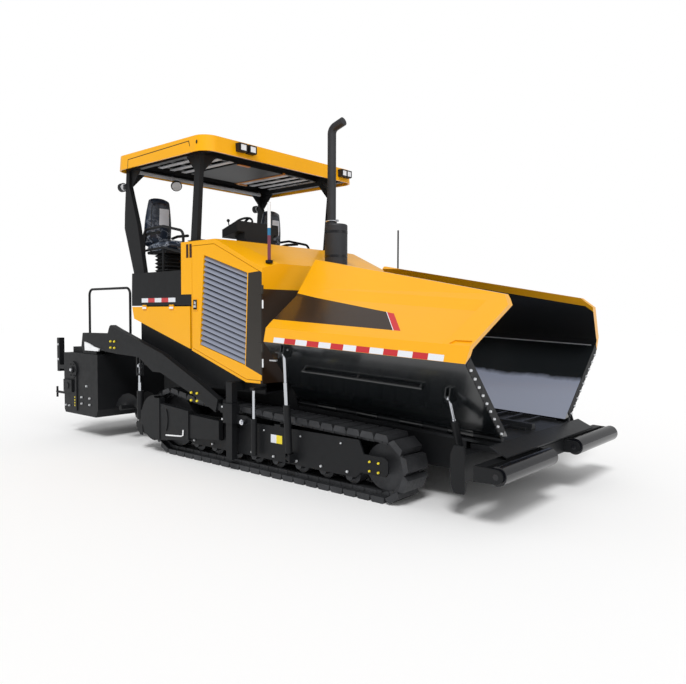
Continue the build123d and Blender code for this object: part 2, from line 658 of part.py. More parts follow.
# Track frames: a box beam with a skirt each side, tied to the chassis by two cross tubes
skirt_outline = [
    (-560, 250), (-480, 190), (2080, 190), (2150, 250), (2440, 250), (2470, 290), (2470, 400), (2420, 430),
    (2180, 430), (2120, 560), (-420, 560), (-560, 480),
]
with BuildPart() as track_frames:
    for side in (-1, 1):
        inner = sorted((side * FRAME_INNER, side * (FRAME_INNER + SKIRT)))
        outer = sorted((side * SKIRT_Y, side * (SKIRT_Y - SKIRT)))
        add(side_plate(skirt_outline, inner[0], inner[1]))
        add(side_plate(skirt_outline, outer[0], outer[1]))
        beam = sorted((side * (FRAME_INNER + 2), side * (SKIRT_Y - 2)))
        add(block((-500, 2050), beam, (roller_z + ROLLER_RADIUS + 12, 470)))
        for x in (-100, 1500):
            tube = sorted((side * (FRAME_SIDE + SEAT_GAP), side * (FRAME_INNER + 5)))
            add(block((x - 90, x + 90), tube, (340, 480)))
        # Arms that hold the carrier roller's shaft
        for y in (FRAME_INNER, SKIRT_Y - SKIRT):
            arm = sorted((side * y, side * (y + SKIRT)))
            add(block((CARRIER_X - 45, CARRIER_X + 45), arm, (465, carrier_z + 40)))
        # Feet of the rear wing cylinders, outside the frame
        for x in (1222, 1282):
            foot = sorted((side * (SKIRT_Y - 1), side * (HALF_BODY + 85)))
            add(block((x - 8, x + 8), foot, (225, 315)))
        pin_y = side * (HALF_BODY + 52)
        add(on_deck(rod((345, pin_y, -479), (415, pin_y, -479), FOOT_PIN)))
track_frames.part.label = "track_frames"
export_step(track_frames.part, "parts/track_frames.step")

# Guards outside the rear of the tracks, and the bolted brackets behind them
GUARD_INNER = HALF_BODY + 12.0
GUARD_OUTER = GUARD_INNER + 88.0
LIFT_X = -1480.0
LIFT_Y = ARM_INNER + ARM_WIDTH / 2
LIFT_Z = 330.0
LIFT_PIN = 20.0
lift_cheek = [
    (LIFT_X + 100, LIFT_Z - 130),
    (LIFT_X + 100, LIFT_Z + 190),
    (LIFT_X + 62, LIFT_Z + 190),
    (LIFT_X + 62, LIFT_Z + 80),
    (LIFT_X + 30, LIFT_Z + 40),
    (LIFT_X - 30, LIFT_Z + 40),
    (LIFT_X - 45, LIFT_Z + 10),
    (LIFT_X - 45, LIFT_Z - 30),
    (LIFT_X + 40, LIFT_Z - 130),
]
with BuildPart() as track_guards:
    for side in (-1, 1):
        span = sorted((side * GUARD_INNER, side * GUARD_OUTER))
        with BuildSketch(Plane.XZ.offset(-span[1])):
            with Locations((-1105, 450)):
                Circle(285)
            with Locations((-980, 445)):
                Rectangle(250, 570, mode=Mode.SUBTRACT)
            with Locations((-1050, 445)):
                Rectangle(110, 520)
        extrude(amount=span[1] - span[0])
        panel = sorted((side * GUARD_INNER, side * (GUARD_OUTER - 10)))
        rear_panel = [(-1100, 170), (-416, 250), (-416, 600), (-1000, 640), (-1100, 690)]
        add(side_plate(rear_panel, panel[0], panel[1]))
        panel = sorted((side * GUARD_INNER, side * (GUARD_OUTER - 25)))
        add(side_plate([(-420, 270), (139, 320), (139, 538), (-420, 560)], panel[0], panel[1]))
        # Ties to the track frame, between the chain's two runs
        for x in (-380, 60):
            tie = sorted((side * (SKIRT_Y + SEAT_GAP), side * (GUARD_INNER + 5)))
            add(block((x - 40, x + 40), tie, (300, 480)))
        # Bracket of the lift cylinder: a plate across behind the track, with two cheeks
        reach = sorted((side * (FRAME_SIDE + SEAT_GAP), side * (LIFT_Y + 36)))
        add(block((LIFT_X + 62, LIFT_X + 100), reach, (430, 520)))
        for y in (LIFT_Y - 36, LIFT_Y + 24):
            cheek = sorted((side * y, side * (y + 12)))
            add(side_plate(lift_cheek, cheek[0], cheek[1]))
        add(rod((LIFT_X, side * (LIFT_Y - 33), LIFT_Z), (LIFT_X, side * (LIFT_Y + 33), LIFT_Z), LIFT_PIN))
track_guards.part.label = "track_guards"
export_step(track_guards.part, "parts/track_guards.step")

# Hopper floor on its rails, running back through the tunnel, with half of the hinge knuckles
# The hopper's pieces are drawn level: x from the rear hinge corner, z from the hinge line
FLOOR_HALF = HINGE_Y - 25.0
FLOOR_TOP = -15.0
FLOOR_SHEET = 15.0
TUNNEL_REAR = -2480.0
KNUCKLES = 9
knuckle_step = HOPPER_LENGTH / KNUCKLES
with BuildPart() as hopper_floor:
    floor_low = FLOOR_TOP - FLOOR_SHEET
    floor_piece = [block((TUNNEL_REAR, HOPPER_LENGTH), (-FLOOR_HALF, FLOOR_HALF), (floor_low, FLOOR_TOP))]
    rail_inner = (-FRAME_SIDE + FRAME_PLATE + SEAT_GAP, -FLOOR_HALF + 20)
    rail_outer = (-FRAME_SIDE, -FRAME_SIDE + FRAME_PLATE + 1)
    rail_foot = -RAIL_DROP + 1
    floor_piece.append(both_sides(block((TUNNEL_REAR, HOPPER_LENGTH), rail_inner, (rail_foot, floor_low))))
    floor_piece.append(both_sides(block((6, HOPPER_LENGTH), rail_outer, (rail_foot, floor_low - 5))))
    floor_piece.append(both_sides(rod((0, -HINGE_Y, 0), (HOPPER_LENGTH, -HINGE_Y, 0), PIN_RADIUS)))
    for index in range(0, KNUCKLES, 2):
        low = index * knuckle_step + 2
        high = (index + 1) * knuckle_step - 2
        floor_piece.append(both_sides(rod((low, -HINGE_Y, 0), (high, -HINGE_Y, 0), KNUCKLE_RADIUS)))
        floor_piece.append(both_sides(block((low, high), (-HINGE_Y, -FLOOR_HALF + 10), (floor_low, -6))))
    # Ridge over the chain guide between the two conveyors
    ridge = [(-45, FLOOR_TOP - 5), (45, FLOOR_TOP - 5), (30, 45), (-30, 45)]
    floor_piece.append(cross_plate(ridge, TUNNEL_REAR + 60, HOPPER_LENGTH - 60))
    for piece in floor_piece:
        add(on_deck(piece))
hopper_floor.part.label = "hopper_floor"
export_step(hopper_floor.part, "parts/hopper_floor.step")

# Conveyors: two fixed loops of flight bars between chains, lying on the floor
BAR_STEP = 190.0
LANE_INNER = 90.0
LANE_OUTER = FLOOR_HALF - 99.0
CHAIN_STRIP = 26.0
bar_count = int((HOPPER_LENGTH - TUNNEL_REAR - 240) / BAR_STEP) + 1
with BuildPart() as conveyor_chains:
    for side in (-1, 1):
        for y in (LANE_INNER, LANE_OUTER - CHAIN_STRIP):
            lane = sorted((side * y, side * (y + CHAIN_STRIP)))
            strip = (TUNNEL_REAR + 90, HOPPER_LENGTH - 90)
            add(on_deck(block(strip, lane, (FLOOR_TOP + SEAT_GAP, FLOOR_TOP + 24))))
        for index in range(bar_count):
            x = TUNNEL_REAR + 120 + index * BAR_STEP
            lane = sorted((side * (LANE_INNER + 10), side * (LANE_OUTER - 10)))
            add(on_deck(block((x, x + 30), lane, (FLOOR_TOP + SEAT_GAP + 4, FLOOR_TOP + 32))))
conveyor_chains.part.label = "conveyor_chains"
export_step(conveyor_chains.part, "parts/conveyor_chains.step")

# Wall behind the hopper, under the hood, with the two tunnel mouths
with BuildPart() as hopper_back:
    half = FRAME_SIDE - FRAME_PLATE - SEAT_GAP
    span = (HOOD_FRONT - HOOD_WALL + SEAT_GAP, HOOD_FRONT - 8)
    add(block(span, (-half, half), (HINGE_Z + 54, HOOD_BOTTOM - SEAT_GAP)))
    mouth = block((HOOD_FRONT - 90, HOOD_FRONT + 10), (-LANE_OUTER - 14, -60), (700, HOOD_BOTTOM - 25))
    add(both_sides(mouth), mode=Mode.SUBTRACT)
hopper_back.part.label = "hopper_back"
export_step(hopper_back.part, "parts/hopper_back.step")

# Hopper wings, folded up: a thick lower wall and a skin that leans in above it
# Outline across the right wing. Columns: y, height over the hinge line
FOLD = (-HINGE_Y - 705.0, 716.0)
BAND = (-HINGE_Y - 675.0, 860.0)
CREASE = (-HINGE_Y - 140.0, 1288.0)
CREST = (-HINGE_Y + 120.0, 1606.0)
wall_length = math.hypot(FOLD[0] + HINGE_Y, FOLD[1])
wall_along = ((FOLD[0] + HINGE_Y) / wall_length, FOLD[1] / wall_length)
wall_inward = (wall_along[1], -wall_along[0])


def on_wall(along, depth):
    """Point of the right wing's lower wall: distance from the hinge, depth inwards."""
    y = -HINGE_Y + along * wall_along[0] + depth * wall_inward[0]
    return y, along * wall_along[1] + depth * wall_inward[1]


wall_outline = [
    on_wall(40, 0),
    (-HINGE_Y, KNUCKLE_RADIUS + 6),
    on_wall(-60, WING_WALL),
    on_wall(wall_length, WING_WALL),
    on_wall(wall_length, 0),
]
skin_outline = sheet_outline([FOLD, BAND, CREASE, CREST], -WING_SKIN)
skin_outline[-1] = on_wall(wall_length, WING_WALL)
# Outlines in side view. Columns: x, height over the hinge line
wing_span = (FOLD[0] - 135, CREST[0] + 140)
wall_trim = [(0, -40), (HOPPER_LENGTH - 8, -40), (2476, 716), (2480, 830), (132, 830), (116, 716)]
skin_trim = [(116, 700), (2476, 700), (2501, 860), (2595, 1199), (2500, 1290), (31, 1610), (112, 860)]
EYE_DEPTH = -41.0
EYE_RADIUS = 26.0
EYE_HALF = 15.0
# Cylinders of a wing. Columns: x, eye's distance along the wall, foot y, foot z, barrel length,
# distance of the rod's inner end from the foot, rod radius
wing_cylinders = {
    "rear": (380.0, 898.0, -HALF_BODY - 52.0, -479.0, 565.0, 520.0, 24.0),
    "front": (2184.0, 572.0, -HINGE_Y - 165.0, -182.0, 385.0, 262.0, 20.0),
}
with BuildPart() as right_wing_wall:
    wall_piece = cross_plate(wall_outline, -50, HOPPER_LENGTH + 100) & side_plate(wall_trim, *wing_span)
    add(on_deck(wall_piece))
    for index in range(1, KNUCKLES, 2):
        low = index * knuckle_step + 2
        high = (index + 1) * knuckle_step - 2
        add(on_deck(rod((low, -HINGE_Y, 0), (high, -HINGE_Y, 0), KNUCKLE_RADIUS)))
        web = [on_wall(10, -8), on_wall(60, 0), on_wall(60, 40), (-HINGE_Y + 12, 40), (-HINGE_Y + 12, 10)]
        add(on_deck(cross_plate(web, low, high)))
    pin_hole = rod((-10, -HINGE_Y, 0), (HOPPER_LENGTH + 10, -HINGE_Y, 0), PIN_RADIUS + SEAT_GAP)
    add(on_deck(pin_hole), mode=Mode.SUBTRACT)
    # Cheeks for the cylinders' eyes
    for x, eye, foot_y, foot_z, barrel, inner, radius in wing_cylinders.values():
        cheek = [on_wall(eye - 70, 5), on_wall(eye - 30, -72), on_wall(eye + 30, -72), on_wall(eye + 90, 5)]
        for low in (x - EYE_HALF - 13, x + EYE_HALF + 1):
            add(on_deck(cross_plate(cheek, low, low + 12)))
    # Rail along the outside
    for x in (470, 1180, 1900):
        clip = [on_wall(615, 5), on_wall(625, -34), on_wall(650, -34), on_wall(660, 5)]
        add(on_deck(cross_plate(clip, x, x + 20)))
    rail_at = on_wall(637, -30)
    add(on_deck(rod((458, *rail_at), (1928, *rail_at), 14)))
right_wing_wall.part.label = "right_wing_wall"
export_step(right_wing_wall.part, "parts/right_wing_wall.step")
with BuildPart() as left_wing_wall:
    mirror(right_wing_wall.part, about=Plane.XZ)
left_wing_wall.part.label = "left_wing_wall"
export_step(left_wing_wall.part, "parts/left_wing_wall.step")
slope_length = math.hypot(CREASE[0] - BAND[0], CREASE[1] - BAND[1])
slope_along = ((CREASE[0] - BAND[0]) / slope_length, (CREASE[1] - BAND[1]) / slope_length)


def on_slope(x, along, depth):
    """Point of the right skin's sloping face: x, distance up from the band, depth inwards."""
    y = BAND[0] + along * slope_along[0] + depth * slope_along[1]
    return Vector(x, y, BAND[1] + along * slope_along[1] - depth * slope_along[0])


def slope_side(first, second, third, keep):
    """Thick slab whose face passes through three points and which lies on the side of a fourth."""
    normal = (second - first).cross(third - first).normalized()
    if (keep - first).dot(normal) < 0:
        normal = -normal
    with BuildPart() as slab:
        with BuildSketch(Plane(origin=first, z_dir=normal)):
            Rectangle(8000, 8000)
        extrude(amount=4000)
    return slab.part


# Shallow pan pressed into the sloping face: a floor, and a wide wall above and ahead of it
PAN_DEPTH = 28.0
pan_corner = on_slope(2322, 476, PAN_DEPTH)
pan_rear = on_slope(-50, 575, PAN_DEPTH)
pan_low = on_slope(1000, 45, 0)
pan_crest = on_slope(2371, 596, 0)
pan_middle = on_slope(1000, 400, 0)
pan_cut = slope_side(pan_corner, pan_rear, pan_low, pan_middle)
pan_cut = pan_cut & slope_side(pan_corner, pan_rear, pan_crest, pan_middle)
pan_cut = pan_cut & slope_side(pan_corner, pan_crest, on_slope(2252, 45, 0), pan_middle)
# Hand pocket at the face's lower front corner. Columns: x, distance up the face
POCKET_DEPTH = 14.0
pocket_points = [(2292, 11), (2331, 59), (2487, 66), (2497, 9)]
with BuildPart() as pocket:
    outwards = (0, -slope_along[1], slope_along[0])
    with BuildSketch(Plane(origin=on_slope(0, 0, 0), x_dir=(1, 0, 0), z_dir=outwards)):
        Polygon(*pocket_points, align=None)
    extrude(amount=POCKET_DEPTH, both=True)
with BuildPart() as right_wing_skin:
    skin_piece = cross_plate(skin_outline, -50, HOPPER_LENGTH + 200) & side_plate(skin_trim, *wing_span)
    add(on_deck(skin_piece - pan_cut - pocket.part))
right_wing_skin.part.label = "right_wing_skin"
export_step(right_wing_skin.part, "parts/right_wing_skin.step")
with BuildPart() as left_wing_skin:
    mirror(right_wing_skin.part, about=Plane.XZ)
left_wing_skin.part.label = "left_wing_skin"
export_step(left_wing_skin.part, "parts/left_wing_skin.step")

# Wing cylinders: barrel on a foot pin, rod with a flat eye between the wing's cheeks
NECK = 62.0
ROD_STEP = {"rear": 235.0, "front": 25.0}     # the rod is thinner beyond this distance past the barrel
for name, (x, eye, foot_y, foot_z, barrel, inner, radius) in wing_cylinders.items():
    eye_y, eye_z = on_wall(eye, EYE_DEPTH)
    foot = Vector(x, foot_y, foot_z)
    top = Vector(x, eye_y, eye_z)
    line = (top - foot).normalized()
    across = Vector(1, 0, 0)
    with BuildPart() as barrel_part:
        add(on_deck(rod(foot + line * NECK, foot + line * barrel, radius + 14)))
        add(on_deck(rod(foot + line * 10, foot + line * (NECK + 5), FOOT_PIN - 1)))
        add(on_deck(rod(foot - across * 19, foot + across * 19, FOOT_PIN + 14)))
        foot_bore = rod(foot - across * 30, foot + across * 30, FOOT_PIN + SEAT_GAP)
        add(on_deck(foot_bore), mode=Mode.SUBTRACT)
        barrel_bore = rod(foot + line * (NECK + 12), foot + line * (barrel + 5), radius + SEAT_GAP)
        add(on_deck(barrel_bore), mode=Mode.SUBTRACT)
    with BuildPart() as rod_part:
        step = barrel + ROD_STEP[name]
        add(on_deck(rod(foot + line * inner, foot + line * step, radius)))
        add(on_deck(rod(foot + line * (step - 5), top - line * (EYE_RADIUS - 8), radius - 6)))
        add(on_deck(rod(top - across * EYE_HALF, top + across * EYE_HALF, EYE_RADIUS)))
        for end in (-1, 1):
            side_cut = Vector(x + end * (EYE_HALF + 20), eye_y, eye_z)
            add(on_deck(rod(side_cut - across * 20, side_cut + across * 20, 45)), mode=Mode.SUBTRACT)
        add(on_deck(rod(top - across * 20, top + across * 20, 12)), mode=Mode.SUBTRACT)
    for side in ("right", "left"):
        for kind, made in (("barrel", barrel_part), ("rod", rod_part)):
            label = f"{side}_{name}_wing_{kind}"
            shape = made.part
            if side == "left":
                shape = mirror(made.part, about=Plane.XZ)
            shape.label = label
            export_step(shape, f"parts/{label}.step")

# Front beam across under the hopper, with the feet of the front wing cylinders
BEAM_REAR = 3116.0
BEAM_FRONT = 3250.0
BEAM_LOW = 330.0
BEAM_HIGH = 560.0
BEAM_HALF = HALF_BODY - 70.0
APRON_HALF = BEAM_HALF - 180
BEAM_END = 25.0
SWIVEL_X = 3330.0
SWIVEL_PIN = 40.0
foot_x = wing_cylinders["front"][0]
foot_y = wing_cylinders["front"][2]
foot_z = wing_cylinders["front"][3]
end_outline = [
    (BEAM_REAR, BEAM_LOW),
    (3150, 230),
    (BEAM_FRONT, 230),
    (BEAM_FRONT + 10, 260),
    (BEAM_FRONT + 10, BEAM_HIGH),
    (3235, 640),
    (3150, 640),
    (BEAM_REAR, BEAM_HIGH),
]
foot_outline = [
    (foot_y - 35, foot_z + 12),
    (foot_y - 18, foot_z + 33),
    (foot_y + 18, foot_z + 33),
    (foot_y + 35, foot_z + 12),
    (foot_y + 45, foot_z - 95),
    (foot_y - 45, foot_z - 95),
]
lug_outline = [
    (BEAM_FRONT - 5, -120),
    (SWIVEL_X, -75),
    (SWIVEL_X + 60, -40),
    (SWIVEL_X + 60, 40),
    (SWIVEL_X, 75),
    (BEAM_FRONT - 5, 120),
]
with BuildPart() as front_beam:
    add(block((BEAM_REAR, BEAM_FRONT), (-BEAM_HALF, BEAM_HALF), (BEAM_LOW, BEAM_HIGH)))
    shelf_width = (-BEAM_HALF + 100, BEAM_HALF - 100)
    add(block((FRAME_FRONT + SEAT_GAP, BEAM_REAR + 2), shelf_width, (BEAM_LOW, BEAM_LOW + 70)))
    add(both_sides(side_plate(end_outline, -BEAM_HALF - BEAM_END, -BEAM_HALF + 1)))
    for x in (foot_x - 32, foot_x + 20):
        add(both_sides(on_deck(cross_plate(foot_outline, x, x + 12))))
    add(both_sides(on_deck(rod((foot_x - 30, foot_y, foot_z), (foot_x + 30, foot_y, foot_z), FOOT_PIN))))
    # Lugs and pin that the push beam swings on
    for z in (360, 545):
        with BuildSketch(Plane.XY.offset(z)):
            Polygon(*lug_outline, align=None)
        extrude(amount=30)
    add(rod((SWIVEL_X, 0, 365), (SWIVEL_X, 0, 570), SWIVEL_PIN))
    # Brackets that carry the apron
    bracket = [
        (3140, BEAM_HIGH - 5),
        (BEAM_FRONT, BEAM_HIGH - 5),
        (3440, 572),
        (3440, 585),
        (3392, 611),
        (3140, 611),
    ]
    for y in (-APRON_HALF + 100, -APRON_HALF + 580, APRON_HALF - 600, APRON_HALF - 120):
        add(side_plate(bracket, y, y + 20))
front_beam.part.label = "front_beam"
export_step(front_beam.part, "parts/front_beam.step")

# Apron that leads from the hopper's floor to the push rollers
APRON_FRONT = 3540.0
deck_angle = math.radians(DECK_SLOPE)
apron_x = HOPPER_REAR + HOPPER_LENGTH * math.cos(deck_angle) + FLOOR_TOP * math.sin(deck_angle) + SEAT_GAP
apron_z = deck_z(apron_x, -FLOOR_TOP)
with BuildPart() as apron_plate:
    apron = [
        (apron_x, apron_z),
        (APRON_FRONT, 560),
        (APRON_FRONT, 546),
        (apron_x + 4, apron_z - 14),
        (apron_x, apron_z - 14),
    ]
    add(side_plate(apron, -APRON_HALF, APRON_HALF))
apron_plate.part.label = "apron_plate"
export_step(apron_plate.part, "parts/apron_plate.step")

# Push beam with its two rollers
ROLLER_INNER = 300.0
ROLLER_OUTER = HALF_BODY + 62.0
STUB_RADIUS = 25.0
PUSH_REAR = 3420.0
PUSH_FRONT = 3520.0
with BuildPart() as push_beam:
    add(block((PUSH_REAR, PUSH_FRONT), (-ROLLER_OUTER - 12, ROLLER_OUTER + 12), (400, 530)))
    roller_arm = [(PUSH_REAR, 400), (ROLLER_X, ROLLER_Z - 58), (ROLLER_X, ROLLER_Z + 58), (PUSH_REAR, 530)]
    for low, high in ((ROLLER_INNER - 32, ROLLER_INNER - 8), (ROLLER_OUTER + 8, ROLLER_OUTER + 33)):
        add(both_sides(side_plate(roller_arm, -high, -low)))
        add(both_sides(rod((ROLLER_X, -high, ROLLER_Z), (ROLLER_X, -low, ROLLER_Z), 58)))
        stub_bore = rod((ROLLER_X, -high - 5, ROLLER_Z), (ROLLER_X, -low + 5, ROLLER_Z), STUB_RADIUS + 0.08)
        add(both_sides(stub_bore), mode=Mode.SUBTRACT)
    add(block((SWIVEL_X, PUSH_REAR + 2), (-65, 65), (400, 535)))
    add(rod((SWIVEL_X, 0, 400), (SWIVEL_X, 0, 535), 65))
    add(rod((SWIVEL_X, 0, 390), (SWIVEL_X, 0, 545), SWIVEL_PIN + SEAT_GAP), mode=Mode.SUBTRACT)
push_beam.part.label = "push_beam"
export_step(push_beam.part, "parts/push_beam.step")
with BuildPart() as right_push_roller:
    add(rod((ROLLER_X, -ROLLER_OUTER, ROLLER_Z), (ROLLER_X, -ROLLER_INNER, ROLLER_Z), PUSH_RADIUS))
    add(rod((ROLLER_X, -ROLLER_OUTER - 34, ROLLER_Z), (ROLLER_X, -ROLLER_INNER + 34, ROLLER_Z), STUB_RADIUS))
right_push_roller.part.label = "right_push_roller"
export_step(right_push_roller.part, "parts/right_push_roller.step")
with BuildPart() as left_push_roller:
    mirror(right_push_roller.part, about=Plane.XZ)
left_push_roller.part.label = "left_push_roller"
export_step(left_push_roller.part, "parts/left_push_roller.step")

# Tow point of the screed: a slider on a post beside the track
POST_REAR = 290.0
POST_FRONT = 390.0
POST_INNER = HALF_BODY + 12.0
POST_OUTER = POST_INNER + 80.0
LEVEL_X = 700.0
LEVEL_Y = POST_INNER + 28.0
LEVEL_RADIUS = 20.0
SLIDE_CLEAR = 5.0
TOW_PIN = 20.0
with BuildPart() as tow_guides:
    add(both_sides(block((POST_REAR, POST_FRONT), (-POST_OUTER, -POST_INNER), (130, 1000))))
    post_inside = (POST_REAR + 10, POST_FRONT - 10)
    add(both_sides(block(post_inside, (-POST_INNER - 2, -SKIRT_Y - SEAT_GAP), (300, 480))))
    add(both_sides(block(post_inside, (-POST_INNER - 2, -UPPER_SIDE - SEAT_GAP), (900, 1000))))
    add(both_sides(block((LEVEL_X - 30, LEVEL_X + 30), (-LEVEL_Y - 30, -UPPER_SIDE - SEAT_GAP), (930, 960))))
tow_guides.part.label = "tow_guides"
export_step(tow_guides.part, "parts/tow_guides.step")
with BuildPart() as levelling_rods:
    add(both_sides(rod((LEVEL_X, -LEVEL_Y, 300), (LEVEL_X, -LEVEL_Y, 930 - SEAT_GAP), LEVEL_RADIUS)))
levelling_rods.part.label = "levelling_rods"
export_step(levelling_rods.part, "parts/levelling_rods.step")
slider_rear = POST_REAR - SLIDE_CLEAR
slider_front = POST_FRONT + SLIDE_CLEAR
slider_outer = POST_OUTER + SLIDE_CLEAR
lug_ends = [
    (slider_rear - 20, TOW_PIN_Z - 45),
    (slider_rear - 20, TOW_PIN_Z + 45),
    (TOW_PIN_X - 18, TOW_PIN_Z + 30),
    (TOW_PIN_X - 32, TOW_PIN_Z),
    (TOW_PIN_X - 18, TOW_PIN_Z - 30),
]
with BuildPart() as right_tow_point:
    add(block((slider_rear - 23, slider_rear), (-slider_outer - 18, -POST_INNER), (540, 760)))
    add(block((slider_rear - 1, slider_front + 1), (-slider_outer - 18, -slider_outer), (540, 760)))
    add(block((slider_front, slider_front + 23), (-slider_outer - 18, -POST_INNER), (540, 760)))
    for y in (POST_INNER + 28, POST_INNER + 74):
        add(side_plate(lug_ends, -y - 10, -y))
    add(rod((TOW_PIN_X, -POST_INNER - 82, TOW_PIN_Z), (TOW_PIN_X, -POST_INNER - 30, TOW_PIN_Z), TOW_PIN))
    # Ear and barrel of the levelling cylinder
    ear = [
        (slider_front + 20, 540),
        (LEVEL_X - 20, 560),
        (LEVEL_X - 20, 600),
        (580, 640),
        (slider_front + 20, 640),
    ]
    add(side_plate(ear, -LEVEL_Y - 10, -LEVEL_Y + 10))
    add(rod((573, -LEVEL_Y - 60, 576), (573, -LEVEL_Y + 8, 576), 24))
    add(rod((LEVEL_X, -LEVEL_Y, 220), (LEVEL_X, -LEVEL_Y, 620), LEVEL_RADIUS + 14, LEVEL_RADIUS + SEAT_GAP))
right_tow_point.part.label = "right_tow_point"
export_step(right_tow_point.part, "parts/right_tow_point.step")
with BuildPart() as left_tow_point:
    mirror(right_tow_point.part, about=Plane.XZ)
left_tow_point.part.label = "left_tow_point"
export_step(left_tow_point.part, "parts/left_tow_point.step")

# Tow arms: bent side beams from the tow points back to the screed
LIFT_TOP = 1085.0
HOOP_Y = HALF_BODY - 220.0
HOOP_FOOT = 1305.0
SLOT_REACH = 85.0
SLOT_HALF = 26.0
arm_outline = [
    (-2875, 1487),
    (-2203, 1492),
    (-2152, 1588),
    (-2118, 1606),
    (-1966, 1557),
    (-923, 1263),
    (-189, 950),
    (150, 790),
    (110, 640),
    (-150, 749),
    (-973, 1031),
    (-1138, 1031),
    (-1452, 1200),
    (-1973, 1221),
    (-2500, 1261),
    (-2500, SCREED_TOP + SEAT_GAP),
    (-2860, SCREED_TOP + SEAT_GAP),
    (-2916, 1293),
]
with BuildPart() as right_tow_arm:
    add(side_plate(arm_outline, -ARM_INNER - ARM_WIDTH, -ARM_INNER))
    eye_low = -POST_INNER - 70
    eye_high = -POST_INNER - 42
    add(side_plate([(60, 700), (60, 780), (215, 720), (215, 640)], eye_low, eye_high))
    add(rod((TOW_PIN_X, eye_low, TOW_PIN_Z), (TOW_PIN_X, eye_high, TOW_PIN_Z), 40))
    bore = rod((TOW_PIN_X, eye_low - 8, TOW_PIN_Z), (TOW_PIN_X, eye_high + 8, TOW_PIN_Z), TOW_PIN + 0.08)
    add(bore, mode=Mode.SUBTRACT)
    # Slotted lugs that the lift cylinder pulls on
    for y in (LIFT_Y - 27, LIFT_Y + 17):
        with BuildSketch(Plane.XZ.offset(y)):
            with Locations((LIFT_X, LIFT_TOP + 5)):
                Rectangle(100, 260)
            with Locations((LIFT_X, LIFT_TOP)):
                SlotCenterToCenter(2 * SLOT_REACH, 2 * SLOT_HALF, rotation=90, mode=Mode.SUBTRACT)
        extrude(amount=10)
    # Bracket of the handrail's front foot
    add(block((-2190, -2110), (-ARM_INNER - 2, -HOOP_Y + 40), (HOOP_FOOT - 15, HOOP_FOOT)))
right_tow_arm.part.label = "right_tow_arm"
export_step(right_tow_arm.part, "parts/right_tow_arm.step")
with BuildPart() as left_tow_arm:
    mirror(right_tow_arm.part, about=Plane.XZ)
left_tow_arm.part.label = "left_tow_arm"
export_step(left_tow_arm.part, "parts/left_tow_arm.step")

# Lift cylinders of the screed, upright behind the tracks
LIFT_BARREL = 430.0
LIFT_INNER = 192.0
LIFT_ROD = 25.0
FLAT_LENGTH = 215.0
with BuildPart() as lift_barrels:
    for side in (-1, 1):
        y = side * LIFT_Y
        add(rod((LIFT_X, y, LIFT_Z + NECK), (LIFT_X, y, LIFT_Z + LIFT_BARREL), LIFT_ROD + 18))
        add(rod((LIFT_X, y, LIFT_Z + 10), (LIFT_X, y, LIFT_Z + NECK + 5), LIFT_PIN))
        add(rod((LIFT_X, y - 22, LIFT_Z), (LIFT_X, y + 22, LIFT_Z), LIFT_PIN + 15))
        add(rod((LIFT_X, y - 40, LIFT_Z), (LIFT_X, y + 40, LIFT_Z), LIFT_PIN + SEAT_GAP), mode=Mode.SUBTRACT)
        bore_start = (LIFT_X, y, LIFT_Z + NECK + 12)
        add(rod(bore_start, (LIFT_X, y, LIFT_Z + LIFT_BARREL + 5), LIFT_ROD + SEAT_GAP), mode=Mode.SUBTRACT)
lift_barrels.part.label = "lift_barrels"
export_step(lift_barrels.part, "parts/lift_barrels.step")
with BuildPart() as lift_rods:
    for side in (-1, 1):
        y = side * LIFT_Y
        add(rod((LIFT_X, y, LIFT_Z + LIFT_INNER), (LIFT_X, y, LIFT_TOP - FLAT_LENGTH), LIFT_ROD))
        add(block((LIFT_X - 18, LIFT_X + 18), (y - 14, y + 14), (LIFT_TOP - FLAT_LENGTH - 2, LIFT_TOP)))
        add(rod((LIFT_X, y - 14, LIFT_TOP), (LIFT_X, y + 14, LIFT_TOP), 30))
        add(rod((LIFT_X, y - 30, LIFT_TOP), (LIFT_X, y + 30, LIFT_TOP), LIFT_PIN))
lift_rods.part.label = "lift_rods"
export_step(lift_rods.part, "parts/lift_rods.step")

# Screed: the box that rides on the mat, with its end plates and end fittings
screed_outline = [
    (SCREED_FRONT, SCREED_TOP),
    (SCREED_FRONT, 420),
    (SCREED_FRONT - 50, SCREED_BOTTOM),
    (SCREED_REAR + 30, SCREED_BOTTOM),
    (SCREED_REAR, 360),
    (SCREED_REAR, SCREED_TOP),
]
with BuildPart() as screed_box:
    add(side_plate(screed_outline, -SCREED_HALF, SCREED_HALF))
    for side in (-1, 1):
        face = side * SCREED_HALF
        add(rod((-3086, face - side, 948), (-3086, face + side * 22, 948), 120))
        add(rod((-3086, face, 948), (-3086, face + side * 40, 948), 45))
        jack = sorted((face - side * 90, face - side * 10))
        add(block((-3600, SCREED_REAR + 5), jack, (940, 1000)))
        add(block((-3600, -3530), jack, (900, 1400)))
        crank_y = face - side * 50
        add(rod((SCREED_REAR + 5, crank_y, 580), (-3700, crank_y, 580), 18))
        add(block((-3700, -3680), sorted((crank_y - 12, crank_y + 12)), (500, 660)))
screed_box.part.label = "screed_box"
export_step(screed_box.part, "parts/screed_box.step")

